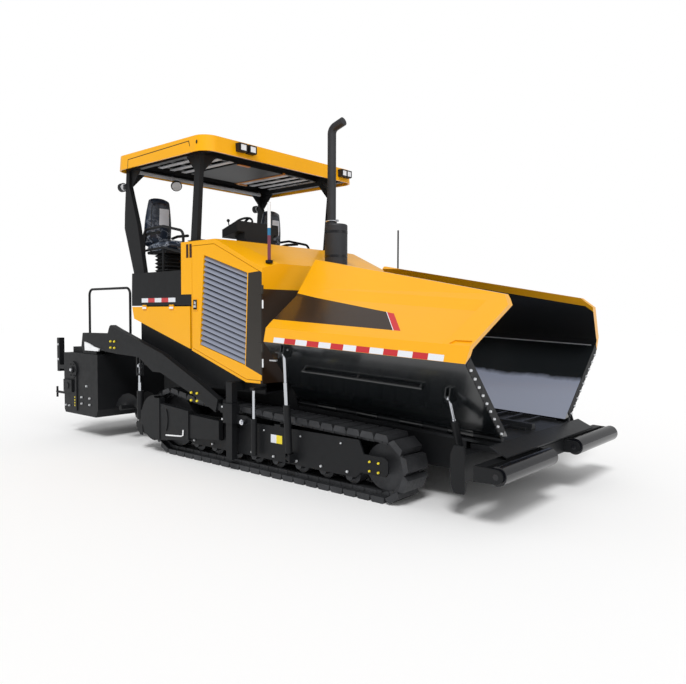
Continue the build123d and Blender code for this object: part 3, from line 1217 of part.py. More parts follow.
# Walkway on the screed with its handrail hoops
WALK_Y = HOOP_Y
WALK_HALF = HALF_BODY - 15.0
WALK_TOP = 1270.0
HOOP_TOP = 2120.0
with BuildPart() as screed_walkway:
    add(block((SCREED_REAR, SCREED_FRONT - 20), (-WALK_HALF, WALK_HALF), (SCREED_TOP + SEAT_GAP, WALK_TOP)))
    hollow = (-WALK_HALF + 15, WALK_HALF - 15)
    hollow_length = (SCREED_REAR + 15, SCREED_FRONT - 35)
    add(block(hollow_length, hollow, (SCREED_TOP - 5, WALK_TOP - 12)), mode=Mode.SUBTRACT)
    hoop = [
        (-3255, -WALK_Y, WALK_TOP - 5),
        (-3255, -WALK_Y, HOOP_TOP),
        (-2150, -WALK_Y, HOOP_TOP),
        (-2150, -WALK_Y, HOOP_FOOT + SEAT_GAP),
    ]
    add(both_sides(bent_bar(hoop, 90, 17)))
screed_walkway.part.label = "screed_walkway"
export_step(screed_walkway.part, "parts/screed_walkway.step")

# Augers across behind the chassis, carried by the drive case in the middle
AUGER_PITCH = 300.0
AUGER_SHAFT = 35.0
AUGER_START = 128.0
AUGER_END = HALF_BODY - 20.0
FLIGHT = 12.0
with BuildPart() as auger_hanger:
    add(block((AUGER_X - 95, AUGER_X + 95), (-110, 110), (370, 620)))
    add(block((AUGER_X - 60, FRAME_REAR - 20), (-80, 80), (600, 700)))
    add(block((FRAME_REAR - 40, FRAME_REAR - SEAT_GAP), (-FRAME_SIDE, FRAME_SIDE), (590, 710)))
    add(rod((AUGER_X, -120, AUGER_Z), (AUGER_X, 120, AUGER_Z), AUGER_SHAFT + 0.08), mode=Mode.SUBTRACT)
auger_hanger.part.label = "auger_hanger"
export_step(auger_hanger.part, "parts/auger_hanger.step")


def flight(start, end, hand):
    """Screw flight round the auger's axis, between two distances from the middle."""
    steps = int((end - start) / AUGER_PITCH * 12)
    with BuildPart() as screw:
        for index in range(steps + 1):
            turn = math.radians(hand * 30 * index)
            centre = (AUGER_X, -start - index * AUGER_PITCH / 12, AUGER_Z)
            outwards = (math.cos(turn), 0, math.sin(turn))
            ahead = (-math.sin(turn), 0, math.cos(turn))
            with BuildSketch(Plane(origin=centre, x_dir=outwards, z_dir=ahead)):
                with Locations(((AUGER_SHAFT - 5 + AUGER_RADIUS) / 2, 0)):
                    Rectangle(AUGER_RADIUS - AUGER_SHAFT + 5, FLIGHT)
        loft(ruled=True)
    return screw.part


with BuildPart() as right_auger:
    add(rod((AUGER_X, -AUGER_END, AUGER_Z), (AUGER_X, -60, AUGER_Z), AUGER_SHAFT))
    add(flight(AUGER_START, AUGER_END - 40, 1))
right_auger.part.label = "right_auger"
export_step(right_auger.part, "parts/right_auger.step")
with BuildPart() as left_auger:
    mirror(right_auger.part, about=Plane.XZ)
left_auger.part.label = "left_auger"
export_step(left_auger.part, "parts/left_auger.step")

# Lamps on the canopy's front edge and on its rear posts
LAMP_Z = 3745.0
lamp_lean = math.tan(math.radians(ROOF_LEAN))


def edge_lamp(y):
    """Square lamp whose back follows the roof's leaning front edge."""
    low_back = ROOF_FRONT - (LAMP_Z - 50 - ROOF_TOP + ROOF_EDGE) * lamp_lean + SEAT_GAP
    high_back = ROOF_FRONT - (LAMP_Z + 50 - ROOF_TOP + ROOF_EDGE) * lamp_lean + SEAT_GAP
    outline = [
        (low_back, LAMP_Z - 50),
        (low_back + 62, LAMP_Z - 50),
        (low_back + 70, LAMP_Z + 50),
        (high_back, LAMP_Z + 50),
    ]
    return side_plate(outline, y - 60, y + 60)


with BuildPart() as lamps:
    for y in (-820, -670, 1040, 1130):
        add(edge_lamp(y))
    post_lamp = POST_Y + 20
    add(both_sides(block((-2000, -1932), (-post_lamp - 15, -post_lamp + 15), (3430, 3490))))
    add(both_sides(rod((-2060, -post_lamp, 3460), (-1998, -post_lamp, 3460), 58)))
    add(canopy_frame.part, mode=Mode.SUBTRACT)
lamps.part.label = "lamps"
export_step(lamps.part, "parts/lamps.step")

# Marker rod on the left wing
MARKER_X = 1160.0
MARKER_Y = HINGE_Y - 40.0
with BuildPart() as marker_rod:
    add(rod((MARKER_X, MARKER_Y, 2235), (MARKER_X, MARKER_Y, 2820), 10))
    add(left_wing_skin.part, mode=Mode.SUBTRACT)
marker_rod.part.label = "marker_rod"
export_step(marker_rod.part, "parts/marker_rod.step")
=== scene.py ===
# %% [markdown]
# # A tracked asphalt paver
# The machine is loaded as a finished frame of steel parts. This lesson dresses it: paint, bare
# steel, rubber, reflective tape, bolts, seats and lamps, then the studio around it. Nothing of
# the frame is moved, so each piece made here is placed from the frame's own measures.

import json
import math

import bmesh
import bpy
from mathutils import Euler, Matrix, Vector
from mathutils.bvhtree import BVHTree


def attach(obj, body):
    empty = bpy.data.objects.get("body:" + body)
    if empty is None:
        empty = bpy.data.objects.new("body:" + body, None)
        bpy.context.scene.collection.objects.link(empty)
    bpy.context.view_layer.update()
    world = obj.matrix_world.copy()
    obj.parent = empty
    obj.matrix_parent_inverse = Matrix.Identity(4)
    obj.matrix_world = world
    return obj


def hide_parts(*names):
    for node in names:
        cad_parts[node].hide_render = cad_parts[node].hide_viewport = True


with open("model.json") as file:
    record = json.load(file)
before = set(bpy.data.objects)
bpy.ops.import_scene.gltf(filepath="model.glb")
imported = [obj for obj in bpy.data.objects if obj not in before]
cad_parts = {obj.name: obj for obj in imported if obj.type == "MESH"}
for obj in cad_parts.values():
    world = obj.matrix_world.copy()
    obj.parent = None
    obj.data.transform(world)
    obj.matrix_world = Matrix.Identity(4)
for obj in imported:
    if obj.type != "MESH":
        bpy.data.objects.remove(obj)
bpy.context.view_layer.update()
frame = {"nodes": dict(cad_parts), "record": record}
nodes = frame["nodes"]

# %% [markdown]
# ## Shader maths as plain sums
# A finish is a small network of nodes. Written node by node it is long and hard to follow, so
# one class wraps a socket and lets it be added, multiplied and compared like a number, and one
# method makes any other node from its type, its settings and its inputs.

# %% Sockets that can be used in sums


def words(name):
    """A socket's label from a Python name."""
    return name.replace("_", " ").title().replace("Ior", "IOR")


class Wire:
    """An output socket of a finish that takes part in plain sums."""

    def __init__(self, finish, socket):
        self.finish = finish
        self.socket = socket

    def maths(self, operation, *others):
        node = self.finish.tree.nodes.new("ShaderNodeMath")
        node.operation = operation
        for index, value in enumerate(others):
            self.finish.feed(node.inputs[index], value)
        return Wire(self.finish, node.outputs[0])

    def __add__(self, other):
        return self.maths("ADD", self, other)

    __radd__ = __add__

    def __sub__(self, other):
        return self.maths("SUBTRACT", self, other)

    def __rsub__(self, other):
        return self.maths("SUBTRACT", other, self)

    def __mul__(self, other):
        return self.maths("MULTIPLY", self, other)

    __rmul__ = __mul__

    def __gt__(self, other):
        return self.maths("GREATER_THAN", self, other)

    def __lt__(self, other):
        return self.maths("LESS_THAN", self, other)

class Finish:
    """A material made of nodes, with one shader whose sockets are set by name."""

    def __init__(self, name, **sockets):
        self.material = bpy.data.materials.new(name)
        self.material.use_nodes = True
        self.tree = self.material.node_tree
        self.tree.nodes.clear()
        self.output = self.tree.nodes.new("ShaderNodeOutputMaterial")
        self.shader = self.tree.nodes.new("ShaderNodeBsdfPrincipled")
        self.tree.links.new(self.shader.outputs[0], self.output.inputs[0])
        self.set(**sockets)

    def feed(self, socket, value):
        if isinstance(value, Wire):
            self.tree.links.new(value.socket, socket)
        elif hasattr(socket.default_value, "__len__") and len(value) == 3 and len(socket.default_value) == 4:
            socket.default_value = (*value, 1.0)
        else:
            socket.default_value = value

    def set(self, **sockets):
        for name, value in sockets.items():
            self.feed(self.shader.inputs[words(name)], value)
        return self

    def node(self, kind, settings=None, output=0, **inputs):
        """Any node: its settings are set first, then its sockets, named i0, i1 ... or by words."""
        made = self.tree.nodes.new("ShaderNode" + kind)
        for key, value in (settings or {}).items():
            if key == "stops":
                ramp = made.color_ramp.elements
                while len(ramp) < len(value):
                    ramp.new(0.5)
                for stop, (place, colour) in zip(ramp, value):
                    stop.position = place
                    stop.color = (*colour, 1.0)
            else:
                setattr(made, key, value)
        for key, value in inputs.items():
            index = int(key[1:]) if key[0] == "i" and key[1:].isdigit() else words(key)
            self.feed(made.inputs[index], value)
        return Wire(self, made.outputs[output])

    def place(self):
        """The point of the surface, in the piece's own metres."""
        return self.node("TexCoord", output="Object")

    def facing(self):
        """The direction that the surface faces, in the piece's own axes."""
        return self.node("TexCoord", output="Normal")

    def axis(self, letter):
        return self.node("SeparateXYZ", i0=self.place(), output="XYZ".index(letter))

    def noise(self, scale, detail=3.0, rough=0.55, source=None):
        source = source or self.place()
        return self.node("TexNoise", i0=source, scale=scale, detail=detail, roughness=rough, output="Fac")

    def ramp(self, value, low, high, floor=0.0, top=1.0):
        """A value carried from one range to another, and held inside it."""
        return self.node("MapRange", i0=value, i1=low, i2=high, i3=floor, i4=top)

    def blend(self, share, first, second):
        return self.node("Mix", {"data_type": "RGBA"}, i0=share, i6=first, i7=second, output=2)

    def gloss(self, value, low, high):
        """Roughness between two values, as a noise gives it."""
        return self.set(roughness=self.ramp(value, 0.3, 0.7, low, high))

    def bump(self, height, strength, distance=0.001):
        return self.set(normal=self.node("Bump", strength=strength, distance=distance, height=height))


def srgb(code):
    """A colour written as six hex digits, in the linear values that shaders use."""
    values = [int(code[index : index + 2], 16) / 255 for index in (0, 2, 4)]
    return tuple(v / 12.92 if v <= 0.04045 else ((v + 0.055) / 1.055) ** 2.4 for v in values)


# %% [markdown]
# ## Where the hopper stands
# The hopper is drawn level and then tips 2.7 degrees towards the front. Its colours follow its
# own edges, so points and heights are worked out in the hopper's own frame: x along its hinge
# line from the rear corner, z above that line. The same corners as in the steel give the
# section of a wing's outer face: fold, band and crease.

# %% The hopper's own frame
DECK_SLOPE = math.radians(2.7)
DECK_X = 0.894
DECK_Z = 0.766
FOLD = (1.465, 0.716)
BAND = (1.435, 0.860)
CREASE = (0.900, 1.288)


def deck(x, y, z):
    """A point of the tipped hopper, from its own measures."""
    return deck_turn(x, y, z) + Vector((DECK_X, 0.0, DECK_Z))


def deck_turn(x, y, z):
    """A direction in the tipped hopper."""
    cos, sin = math.cos(DECK_SLOPE), math.sin(DECK_SLOPE)
    return Vector((x * cos + z * sin, y, z * cos - x * sin))


def between(first, second):
    """Length and unit direction from one corner of the wing's section to another."""
    length = math.dist(first, second)
    return length, (second[0] - first[0]) / length, (second[1] - first[1]) / length


def deck_wires(finish):
    """The hopper's own x and z as shader values."""
    cos, sin = math.cos(DECK_SLOPE), math.sin(DECK_SLOPE)
    x = finish.axis("X") - DECK_X
    z = finish.axis("Z") - DECK_Z
    return x * cos - z * sin, x * sin + z * cos


def faces_towards(finish, direction, least=0.5):
    """One where the surface faces a direction, within about sixty degrees."""
    share = finish.node(
        "VectorMath", {"operation": "DOT_PRODUCT"}, i0=finish.facing(), i1=tuple(direction), output="Value"
    )
    return share > least


print("hopper corner", [round(v, 3) for v in deck(0, 0, 0)])

# %% [markdown]
# ## Paint
# Machine paint is a smooth coat over steel with a faint orange peel: the sprayed drops never
# quite level out. A fine noise as bump gives that, a broad one shifts the tone by a few
# percent, and a clear coat on top gives the sharp reflection. Dust settles in the roughness,
# not in the colour. Every painted finish here comes from one function, so that the whole
# machine looks sprayed in one shop. Where the paint changes colour, a mask made of the
# surface's own coordinates draws the line, as masking tape does in the paint shop.
# The lighter lower inside of the hopper's walls is a painted reflection, drawn by such a mask.

# %% Paint
YELLOW = srgb("F2AB00")
BLACK = srgb("17181A")
STRIPE = srgb("2C1E13")
DOOR_DARK = srgb("2B2722")
RED = srgb("C8242B")
WHITE = srgb("E9ECF2")
PAINT_SPREAD = 0.06


def toned(finish, tone, colour, spread):
    """A colour that is a little darker or lighter with a noise."""
    darker, lighter = (tuple(min(1.0, c * share) for c in colour) for share in (1 - spread, 1 + spread))
    return finish.blend(tone, darker, lighter)


def painted(name, colour, rough, coat=0.25, masks=(), sheen=0.5):
    """Sprayed paint. Each mask gives the share of a further colour, in the order they are sprayed."""
    finish = Finish(name, roughness=rough, coat_weight=coat, coat_roughness=0.1, specular_ior_level=sheen)
    base = toned(finish, finish.noise(0.9), colour, PAINT_SPREAD)
    for mask in masks:
        share, second = mask(finish)
        base = finish.blend(share, base, second)
    finish.set(base_color=base)
    grime = finish.noise(14.0, detail=6.0)
    finish.set(roughness=finish.ramp(grime, 0.35, 0.75, rough * 0.92, rough * 1.1))
    finish.bump(finish.noise(180.0, detail=1.0), 0.02)
    return finish.material


# %% Masks for the hood and its doors
DOOR_DARK_X = 0.519
DOOR_DARK_LEAN = 0.045
DOOR_SILL_Z = 1.185
DOOR_SILL_SLOPE = 0.345
DOOR_HEAD_Z = 2.208
DOOR_HEAD_SLOPE = 0.07
NOSE_BAND_TOP = 2.03
NOSE_FACE_X = 0.76


def dark_front(finish):
    """The door's strip ahead of the louvres is dark between its yellow head and sill."""
    x = finish.axis("X")
    z = finish.axis("Z")
    sill = DOOR_SILL_Z - (x - DOOR_DARK_X) * DOOR_SILL_SLOPE
    head = DOOR_HEAD_Z + (x - DOOR_DARK_X) * DOOR_HEAD_SLOPE
    ahead = x > DOOR_DARK_X + (z - DOOR_SILL_Z) * DOOR_DARK_LEAN
    return ahead * (z > sill) * (z < head), DOOR_DARK


def nose_band(finish):
    """The hood's front face is dark below the level where the hopper's stripe meets it."""
    return (finish.axis("Z") < NOSE_BAND_TOP) * (finish.axis("X") > NOSE_FACE_X), STRIPE


# %% Masks for the hopper's wings
STRIPE_TOP = (0.6215, -0.1662)
STRIPE_LOW = (0.1433, -0.0123)
STRIPE_LEAN = 0.92
STRIPE_END = 1.770
SLASH = (1.778, 1.854)
CREST_LINE = (0.175, 0.985, 2.512, 0.078)
CORNER_LINE = (0.725, 0.689, 3.837, 0.045)


def outer_slope(finish, side):
    """Distance up the sloping outer face, from the band."""
    _, across, rise = between(BAND, CREASE)
    z = deck_wires(finish)[1]
    return (finish.axis("Y") * side - BAND[0]) * across + (z - BAND[1]) * rise


def slope_out(side):
    _, across, rise = between(BAND, CREASE)
    return deck_turn(0.0, side * rise, -across)


def slope_stripe(side, start, end, colour):
    """A leaning piece of the stripe along the sloping face."""

    def mask(finish):
        x = deck_wires(finish)[0]
        up = outer_slope(finish, side)
        inside = (up < STRIPE_TOP[0] + x * STRIPE_TOP[1]) * (up > STRIPE_LOW[0] + x * STRIPE_LOW[1])
        lean = x + up * STRIPE_LEAN
        return inside * (lean > start) * (lean < end) * faces_towards(finish, slope_out(side), 0.8), colour

    return mask


def inner_black(side):
    """The inside of a skin is black, up to a yellow border along its crest and its front corner."""

    def mask(finish):
        share = faces_towards(finish, (0.0, -side * 0.9, -0.43))
        for along, up, reach, border in (CREST_LINE, CORNER_LINE):
            share = share * (finish.axis("X") * along + finish.axis("Z") * up < reach - border)
        return share, BLACK

    return mask


def wall_reflection(side):
    """Painted reflection: the lower inside of the hopper's walls is a lighter grey-lilac, with a ragged upper
    edge.
    """

    def mask(finish):
        x, z = deck_wires(finish)
        ragged = z + finish.noise(2.2, detail=6.0, rough=0.7) * 0.10
        # The lighter grey-lilac share is a painted reflection on the wall's inside face.
        reflection_share = finish.ramp(ragged, 0.475, 0.425) * faces_towards(finish, (0.0, -side * 0.75, 0.66), 0.7)
        return reflection_share, srgb("7E8494")

    return mask


def skin_masks(side):
    return (
        inner_black(side),
        slope_stripe(side, -1.0, STRIPE_END, STRIPE),
        slope_stripe(side, STRIPE_END, SLASH[0], WHITE),
        slope_stripe(side, SLASH[0], SLASH[1], RED),
    )


# %% Mix the paints
GLOSS = {"rough": 0.32, "coat": 0.12, "sheen": 0.3}
SKIN_GLOSS = {"rough": 0.3, "coat": 0.4, "sheen": 0.5}
finishes = {
    "body_yellow": painted("body_yellow", YELLOW, **GLOSS),
    "frame_black": painted("frame_black", BLACK, 0.48, coat=0.0, sheen=0.22),
    "louvre_grey": painted("louvre_grey", srgb("868B9A"), 0.5, coat=0.0, sheen=0.3),
    "roller_black": painted("roller_black", srgb("0E0F14"), 0.2, coat=0.15, sheen=0.4),
    "door": painted("door_paint", YELLOW, masks=(dark_front,), **GLOSS),
    "hood": painted("hood_paint", YELLOW, masks=(nose_band,), **GLOSS),
}
for label, side in (("right", -1), ("left", 1)):
    finishes[label + "_skin"] = painted(label + "_skin_paint", YELLOW, masks=skin_masks(side), **SKIN_GLOSS)
    # The walls' finish carries a painted reflection on its lower inside.
    finishes[label + "_wall"] = painted(
        label + "_wall_paint", srgb("15181A"), 0.2, coat=0.6, masks=(wall_reflection(side),)
    )
print("paints", len(finishes))

# %% [markdown]
# ## Bare and working steel
# Track shoes are cast and rubbed by the ground, so they are dull and speckled with brighter
# high spots. Cylinder rods are hard chrome: a mirror with almost no texture. The hopper floor
# is rolled plate, scoured along the way that the mix travels.

# %% Steel


def cast_steel():
    finish = Finish("track_steel", metallic=0.55)
    grain = finish.noise(38.0, detail=8.0, rough=0.7)
    patch = finish.noise(5.0)
    finish.set(base_color=finish.blend(patch, srgb("232426"), srgb("4A4B4E")))
    finish.gloss(grain, 0.38, 0.62)
    finish.bump(grain, 0.35, 0.002)
    return finish.material


def hard_chrome():
    finish = Finish("chrome_rod", metallic=1.0, base_color=srgb("C6C9CE"))
    finish.gloss(finish.noise(90.0), 0.08, 0.16)
    return finish.material


def rolled_plate():
    finish = Finish("floor_steel", metallic=0.7)
    stretched = finish.node("VectorMath", {"operation": "MULTIPLY"}, i0=finish.place(), i1=(1.0, 18.0, 4.0))
    streak = finish.noise(6.0, detail=8.0, rough=0.7, source=stretched)
    finish.set(base_color=finish.blend(streak, srgb("1C1D1F"), srgb("3B3D40")))
    finish.gloss(streak, 0.3, 0.5)
    finish.bump(streak, 0.12)
    return finish.material


def burnt_steel():
    finish = Finish("exhaust_steel", metallic=0.35)
    cloud = finish.noise(4.0, detail=5.0)
    finish.set(base_color=finish.blend(cloud, srgb("26272A"), srgb("3A3B3E")))
    finish.gloss(cloud, 0.42, 0.58)
    finish.bump(finish.noise(120.0), 0.08)
    return finish.material


def moulded_plastic(name, colour, rough):
    finish = Finish(name, roughness=rough, specular_ior_level=0.25)
    grain = finish.node("TexVoronoi", i0=finish.place(), scale=520.0, output="Distance")
    finish.set(base_color=finish.blend(finish.noise(3.0), colour, tuple(c * 1.25 for c in colour)))
    finish.bump(grain, 0.12, 0.0006)
    return finish.material


finishes["track_steel"] = cast_steel()
finishes["chrome_rod"] = hard_chrome()
finishes["floor_steel"] = rolled_plate()
finishes["exhaust_steel"] = burnt_steel()
finishes["lamp_black"] = moulded_plastic("lamp_black", srgb("1A1B1D"), 0.5)
finishes["console"] = moulded_plastic("console_plastic", srgb("222427"), 0.55)
finishes["vent_brown"] = moulded_plastic("vent_brown", srgb("4A2C14"), 0.5)
# The plum and blue finishes are painted reflections on the chrome pole.
finishes["film_plum"] = moulded_plastic("film_plum", srgb("6E3B4A"), 0.35)
finishes["film_blue"] = moulded_plastic("film_blue", srgb("2F6E96"), 0.35)
finishes["screen"] = moulded_plastic("screen", srgb("3A4048"), 0.12)


def wrapped_seat():
    """Navy cloth under clear film: pale ridges along the film's creases, partly the whitish film and partly
    painted highlight.
    """
    finish = Finish("seat_film", coat_weight=0.7, coat_roughness=0.12, specular_ior_level=0.35)
    loose = finish.ramp(finish.axis("Z"), 3.10, 2.78, 0.10, 0.9)
    stretched = finish.node("VectorMath", {"operation": "MULTIPLY"}, i0=finish.place(), i1=(5.0, 5.0, 8.0))
    crease = finish.noise(1.4, detail=3.0, rough=0.6, source=stretched)
    ridge = 1.0 - finish.node("Math", {"operation": "ABSOLUTE"}, i0=(crease - 0.5) * 12.0)
    film_and_glint = finish.ramp(ridge, 0.35, 1.0) * loose
    cloth = finish.blend(finish.noise(2.0), srgb("121B29"), srgb("1E2C40"))
    # The pale ridges are partly the whitish film and partly painted highlights on its creases.
    finish.set(base_color=finish.blend(film_and_glint * 0.6, cloth, srgb("B4BDCB")))
    finish.set(roughness=finish.ramp(film_and_glint, 0.0, 1.0, 0.4, 0.2))
    finish.bump(crease, 0.3, 0.012)
    return finish.material


finishes["seat_film"] = wrapped_seat()

# %% Give every steel part its finish
finish_of_node = {
    "hood_shell": "hood",
    "right_wing_skin": "right_skin",
    "left_wing_skin": "left_skin",
    "canopy_roof": "body_yellow",
    "control_console": "console",
    "muffler": "exhaust_steel",
    "exhaust_pipe": "exhaust_steel",
}
for name, node in nodes.items():
    chosen = finish_of_node.get(name)
    if chosen is None and name.endswith("_door"):
        chosen = "door"
    if chosen is None and name.endswith("_wing_wall"):
        chosen = name.split("_")[0] + "_wall"
    if chosen is None:
        slot_of = {entry["node"]: entry["material_slot"] for entry in frame["record"]["subparts"]}
        chosen = slot_of.get(name, "frame_black")
    node.data.materials.clear()
    node.data.materials.append(finishes.get(chosen, finishes["frame_black"]))
print("nodes dressed", len(nodes))

# %% [markdown]
# ## Building pieces
# Small helpers turn lists of corners into closed meshes in their final place. The finished
# piece's object stays at the origin, so a pattern in its own coordinates never slides. Most
# small things lie on a flat side of the machine, so a side is described once, by a corner and
# three directions, and things are then placed on it as on a drawing: so far along, so far up.

# %% Mesh helpers


def new_piece(name, bm, finish, body, slot):
    """A closed mesh becomes a named piece that moves with one body of the machine."""
    bmesh.ops.recalc_face_normals(bm, faces=bm.faces)
    mesh = bpy.data.meshes.new(name)
    bm.to_mesh(mesh)
    bm.free()
    return dress(name, mesh, finish, body, slot)


def dress(name, mesh, finish, body, slot):
    piece = bpy.data.objects.new(name, mesh)
    bpy.context.scene.collection.objects.link(piece)
    mesh.materials.clear()
    mesh.materials.append(finish)
    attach(piece, body)
    return piece


def made(name, finish, body, slot, *shapes):
    """A piece joined from shapes: each is one of the helpers below and what it needs."""
    bm = bmesh.new()
    for shape, *values in shapes:
        shape(bm, *values)
    return new_piece(name, bm, finish, body, slot)


class Side:
    """A flat side of the machine: a corner of it, the ways along and up, and the way out."""

    def __init__(self, corner, along, up, out):
        self.corner = Vector(corner)
        self.along = Vector(along).normalized()
        self.up = Vector(up).normalized()
        self.out = Vector(out).normalized()
        lead = self.along if self.along.cross(self.up).dot(self.out) > 0 else -self.along
        self.turn = Matrix((lead, self.up, self.out)).transposed().to_euler()

    def at(self, along, up, out=0.0):
        return self.corner + self.along * along + self.up * up + self.out * out


def plate(bm, corners, out, thickness):
    """A flat plate: its outline lies on a surface and it rises outwards."""
    low = [bm.verts.new(Vector(c)) for c in corners]
    high = [bm.verts.new(Vector(c) + Vector(out) * thickness) for c in corners]
    bm.faces.new(low[::-1])
    bm.faces.new(high)
    count = len(corners)
    for index in range(count):
        after = (index + 1) % count
        bm.faces.new((low[index], low[after], high[after], high[index]))


def panel(bm, side, outline, thickness, lift=0.0):
    """A plate on a side, its outline given as pairs along and up."""
    plate(bm, [side.at(u, v, lift) for u, v in outline], side.out, thickness)


def oblong(left, low, right, high):
    """A rectangle's outline, from two of its corners."""
    return [(left, low), (right, low), (right, high), (left, high)]


def cuboid(bm, low, high):
    """A box between two corners."""
    size = Vector(high) - Vector(low)
    place = Matrix.Translation((Vector(low) + Vector(high)) / 2) @ Matrix.Diagonal((*size, 1.0))
    bmesh.ops.create_cube(bm, size=1.0, matrix=place)


def disc(bm, centre, along, radius, length, sides=24, tip=None):
    """A short cylinder or cone frustum whose middle lies at the centre."""
    turn = Vector((0, 0, 1)).rotation_difference(Vector(along)).to_matrix().to_4x4()
    bmesh.ops.create_cone(
        bm,
        cap_ends=True,
        segments=sides,
        radius1=radius,
        radius2=radius if tip is None else tip,
        depth=length,
        matrix=Matrix.Translation(Vector(centre)) @ turn,
    )


def tube(bm, points, radius, sides=10, closed=False):
    """A round bar along a line of points, with a ring of corners at each."""
    line = [Vector(p) for p in points]
    rings = []
    count = len(line)
    for index, point in enumerate(line):
        before = line[index - 1] if index or closed else line[0]
        after = line[(index + 1) % count] if index < count - 1 or closed else line[-1]
        way = (after - before).normalized()
        flat = way.orthogonal() if not rings else flat - way * flat.dot(way)
        flat.normalize()
        across = way.cross(flat)
        ring = []
        for step in range(sides):
            angle = 2 * math.pi * step / sides
            ring.append(bm.verts.new(point + (flat * math.cos(angle) + across * math.sin(angle)) * radius))
        rings.append(ring)
    pairs = list(zip(rings, rings[1:])) + ([(rings[-1], rings[0])] if closed else [])
    for first, second in pairs:
        for step in range(sides):
            after = (step + 1) % sides
            bm.faces.new((first[step], first[after], second[after], second[step]))
    if not closed:
        bm.faces.new(rings[0][::-1])
        bm.faces.new(rings[-1])


def arc(centre, first, second, start, end, steps):
    """Points on an arc in the plane of two directions, from one angle to another in degrees."""
    points = []
    for step in range(steps + 1):
        angle = math.radians(start + (end - start) * step / steps)
        points.append(Vector(centre) + Vector(first) * math.cos(angle) + Vector(second) * math.sin(angle))
    return points


# %% [markdown]
# ## Rows of equal things
# Bolts, tape, ribs and lamp lenses repeat at an even step. Geometry Nodes make a row from five
# named inputs: how many, where the first one is, the step to the next, how each is turned and
# how large it is. The result is made real and kept as a plain mesh, so nothing stays live.

# %% Rows made by Geometry Nodes
def built(tree, kind, settings=None, **sockets):
    """A node: its settings are set first, then its inputs to values or to other nodes' outputs."""
    node = tree.nodes.new(kind)
    for key, value in (settings or {}).items():
        setattr(node, key, value)
    for key, value in sockets.items():
        socket = node.inputs[words(key)]
        if isinstance(value, bpy.types.NodeSocket):
            tree.links.new(value, socket)
        else:
            socket.default_value = value
    return node


def new_tree(name, *labels):
    """A tree and its named inputs, and a way to take each of them up."""
    tree = bpy.data.node_groups.new(name, "GeometryNodeTree")
    tree.interface.new_socket("Geometry", in_out="OUTPUT", socket_type="NodeSocketGeometry")
    for label, sort in labels:
        tree.interface.new_socket(label, in_out="INPUT", socket_type="NodeSocket" + sort)
    return tree, tree.nodes.new("NodeGroupInput").outputs


def finished_with(tree, geometry, finish):
    """Real copies in one material close every tree."""
    real = built(tree, "GeometryNodeRealizeInstances", geometry=geometry)
    paint = built(tree, "GeometryNodeSetMaterial", geometry=real.outputs[0], material=finish)
    built(tree, "NodeGroupOutput", geometry=paint.outputs[0])
    return tree


def small_shape(tree, kind):
    """The thing that is copied, one metre large: a hexagon head, a round head or a block."""
    if kind == "block":
        return tree.nodes.new("GeometryNodeMeshCube").outputs["Mesh"]
    size = {"vertices": 6 if kind == "hexagon" else 12, "radius_top": 0.42, "radius_bottom": 0.5, "depth": 1.0}
    return built(tree, "GeometryNodeMeshCone", **size).outputs["Mesh"]


def row_tree(name, finish, kind):
    """Copies of one small shape stand in a row."""
    vectors = [(label, "Vector") for label in ("Start", "Step", "Turn", "Size")]
    tree, given = new_tree(name, ("Count", "Int"), *vectors)
    places = {"count": given["Count"], "start_location": given["Start"], "offset": given["Step"]}
    line = built(tree, "GeometryNodeMeshLine", {"mode": "OFFSET"}, **places)
    copies = built(
        tree,
        "GeometryNodeInstanceOnPoints",
        points=line.outputs["Mesh"],
        instance=small_shape(tree, kind),
        rotation=given["Turn"],
        scale=given["Size"],
    )
    return finished_with(tree, copies.outputs[0], finish)


def held(mesh):
    """An object that carries a mesh while its modifiers work."""
    holder = bpy.data.objects.new("holder", mesh)
    bpy.context.scene.collection.objects.link(holder)
    return holder


def baked(holder):
    """What an object looks like with its modifiers, as a plain mesh. The object goes."""
    depsgraph = bpy.context.evaluated_depsgraph_get()
    mesh = bpy.data.meshes.new_from_object(holder.evaluated_get(depsgraph))
    bpy.data.objects.remove(holder)
    return mesh


def grown(tree, values, start=None):
    """A tree evaluated with its inputs, as a plain mesh."""
    holder = held(start or bpy.data.meshes.new("empty"))
    modifier = holder.modifiers.new("grown", "NODES")
    modifier.node_group = tree
    for item in tree.interface.items_tree:
        if item.in_out == "INPUT" and item.name in values:
            modifier[item.identifier] = values[item.name]
    return baked(holder)


SUNK = 0.45
row_trees = {}


def rows(name, kind, finish, body, slot, *table):
    """Rows on sides of the machine, joined in one piece and sunk a little into their side.

    Columns: side, count, first place along and up, step along and up, size along, up and out.
    """
    key = (kind, finish.name)
    if key not in row_trees:
        row_trees[key] = row_tree(f"{kind}_row_{finish.name}", finish, kind)
    bm = bmesh.new()
    for side, count, first, step, size in table:
        values = {
            "Count": count,
            "Start": side.at(*first, size[2] * SUNK),
            "Step": side.along * step[0] + side.up * step[1],
            "Turn": Vector(side.turn),
            "Size": size,
        }
        mesh = grown(row_trees[key], values)
        bm.from_mesh(mesh)
        bpy.data.meshes.remove(mesh)
    return new_piece(name, bm, finish, body, slot)

# %% Finishes for small things
SMALL_SPREAD = 0.12


def plain(name, colour, rough, metallic=0.0, coat=0.0, grain=60.0, bump=0.05):
    """A small part's finish: its tone and gloss vary a little, with a fine grain."""
    finish = Finish(name, metallic=metallic, coat_weight=coat)
    tone = finish.noise(grain * 0.3)
    finish.set(base_color=toned(finish, tone, colour, SMALL_SPREAD))
    finish.gloss(tone, rough * 0.85, rough * 1.15)
    finish.bump(finish.noise(grain * 4.0), bump)
    return finish.material


def reflective(name, colour):
    """Reflective tape: small cells under a clear face."""
    finish = Finish(name, roughness=0.25, coat_weight=0.6, coat_roughness=0.1)
    cells = finish.node("TexVoronoi", i0=finish.place(), scale=420.0, output="Distance")
    darker = tuple(c * 0.86 for c in colour)
    finish.set(base_color=finish.blend(finish.ramp(cells, 0.2, 0.7), colour, darker))
    finish.bump(cells, 0.08)
    return finish.material


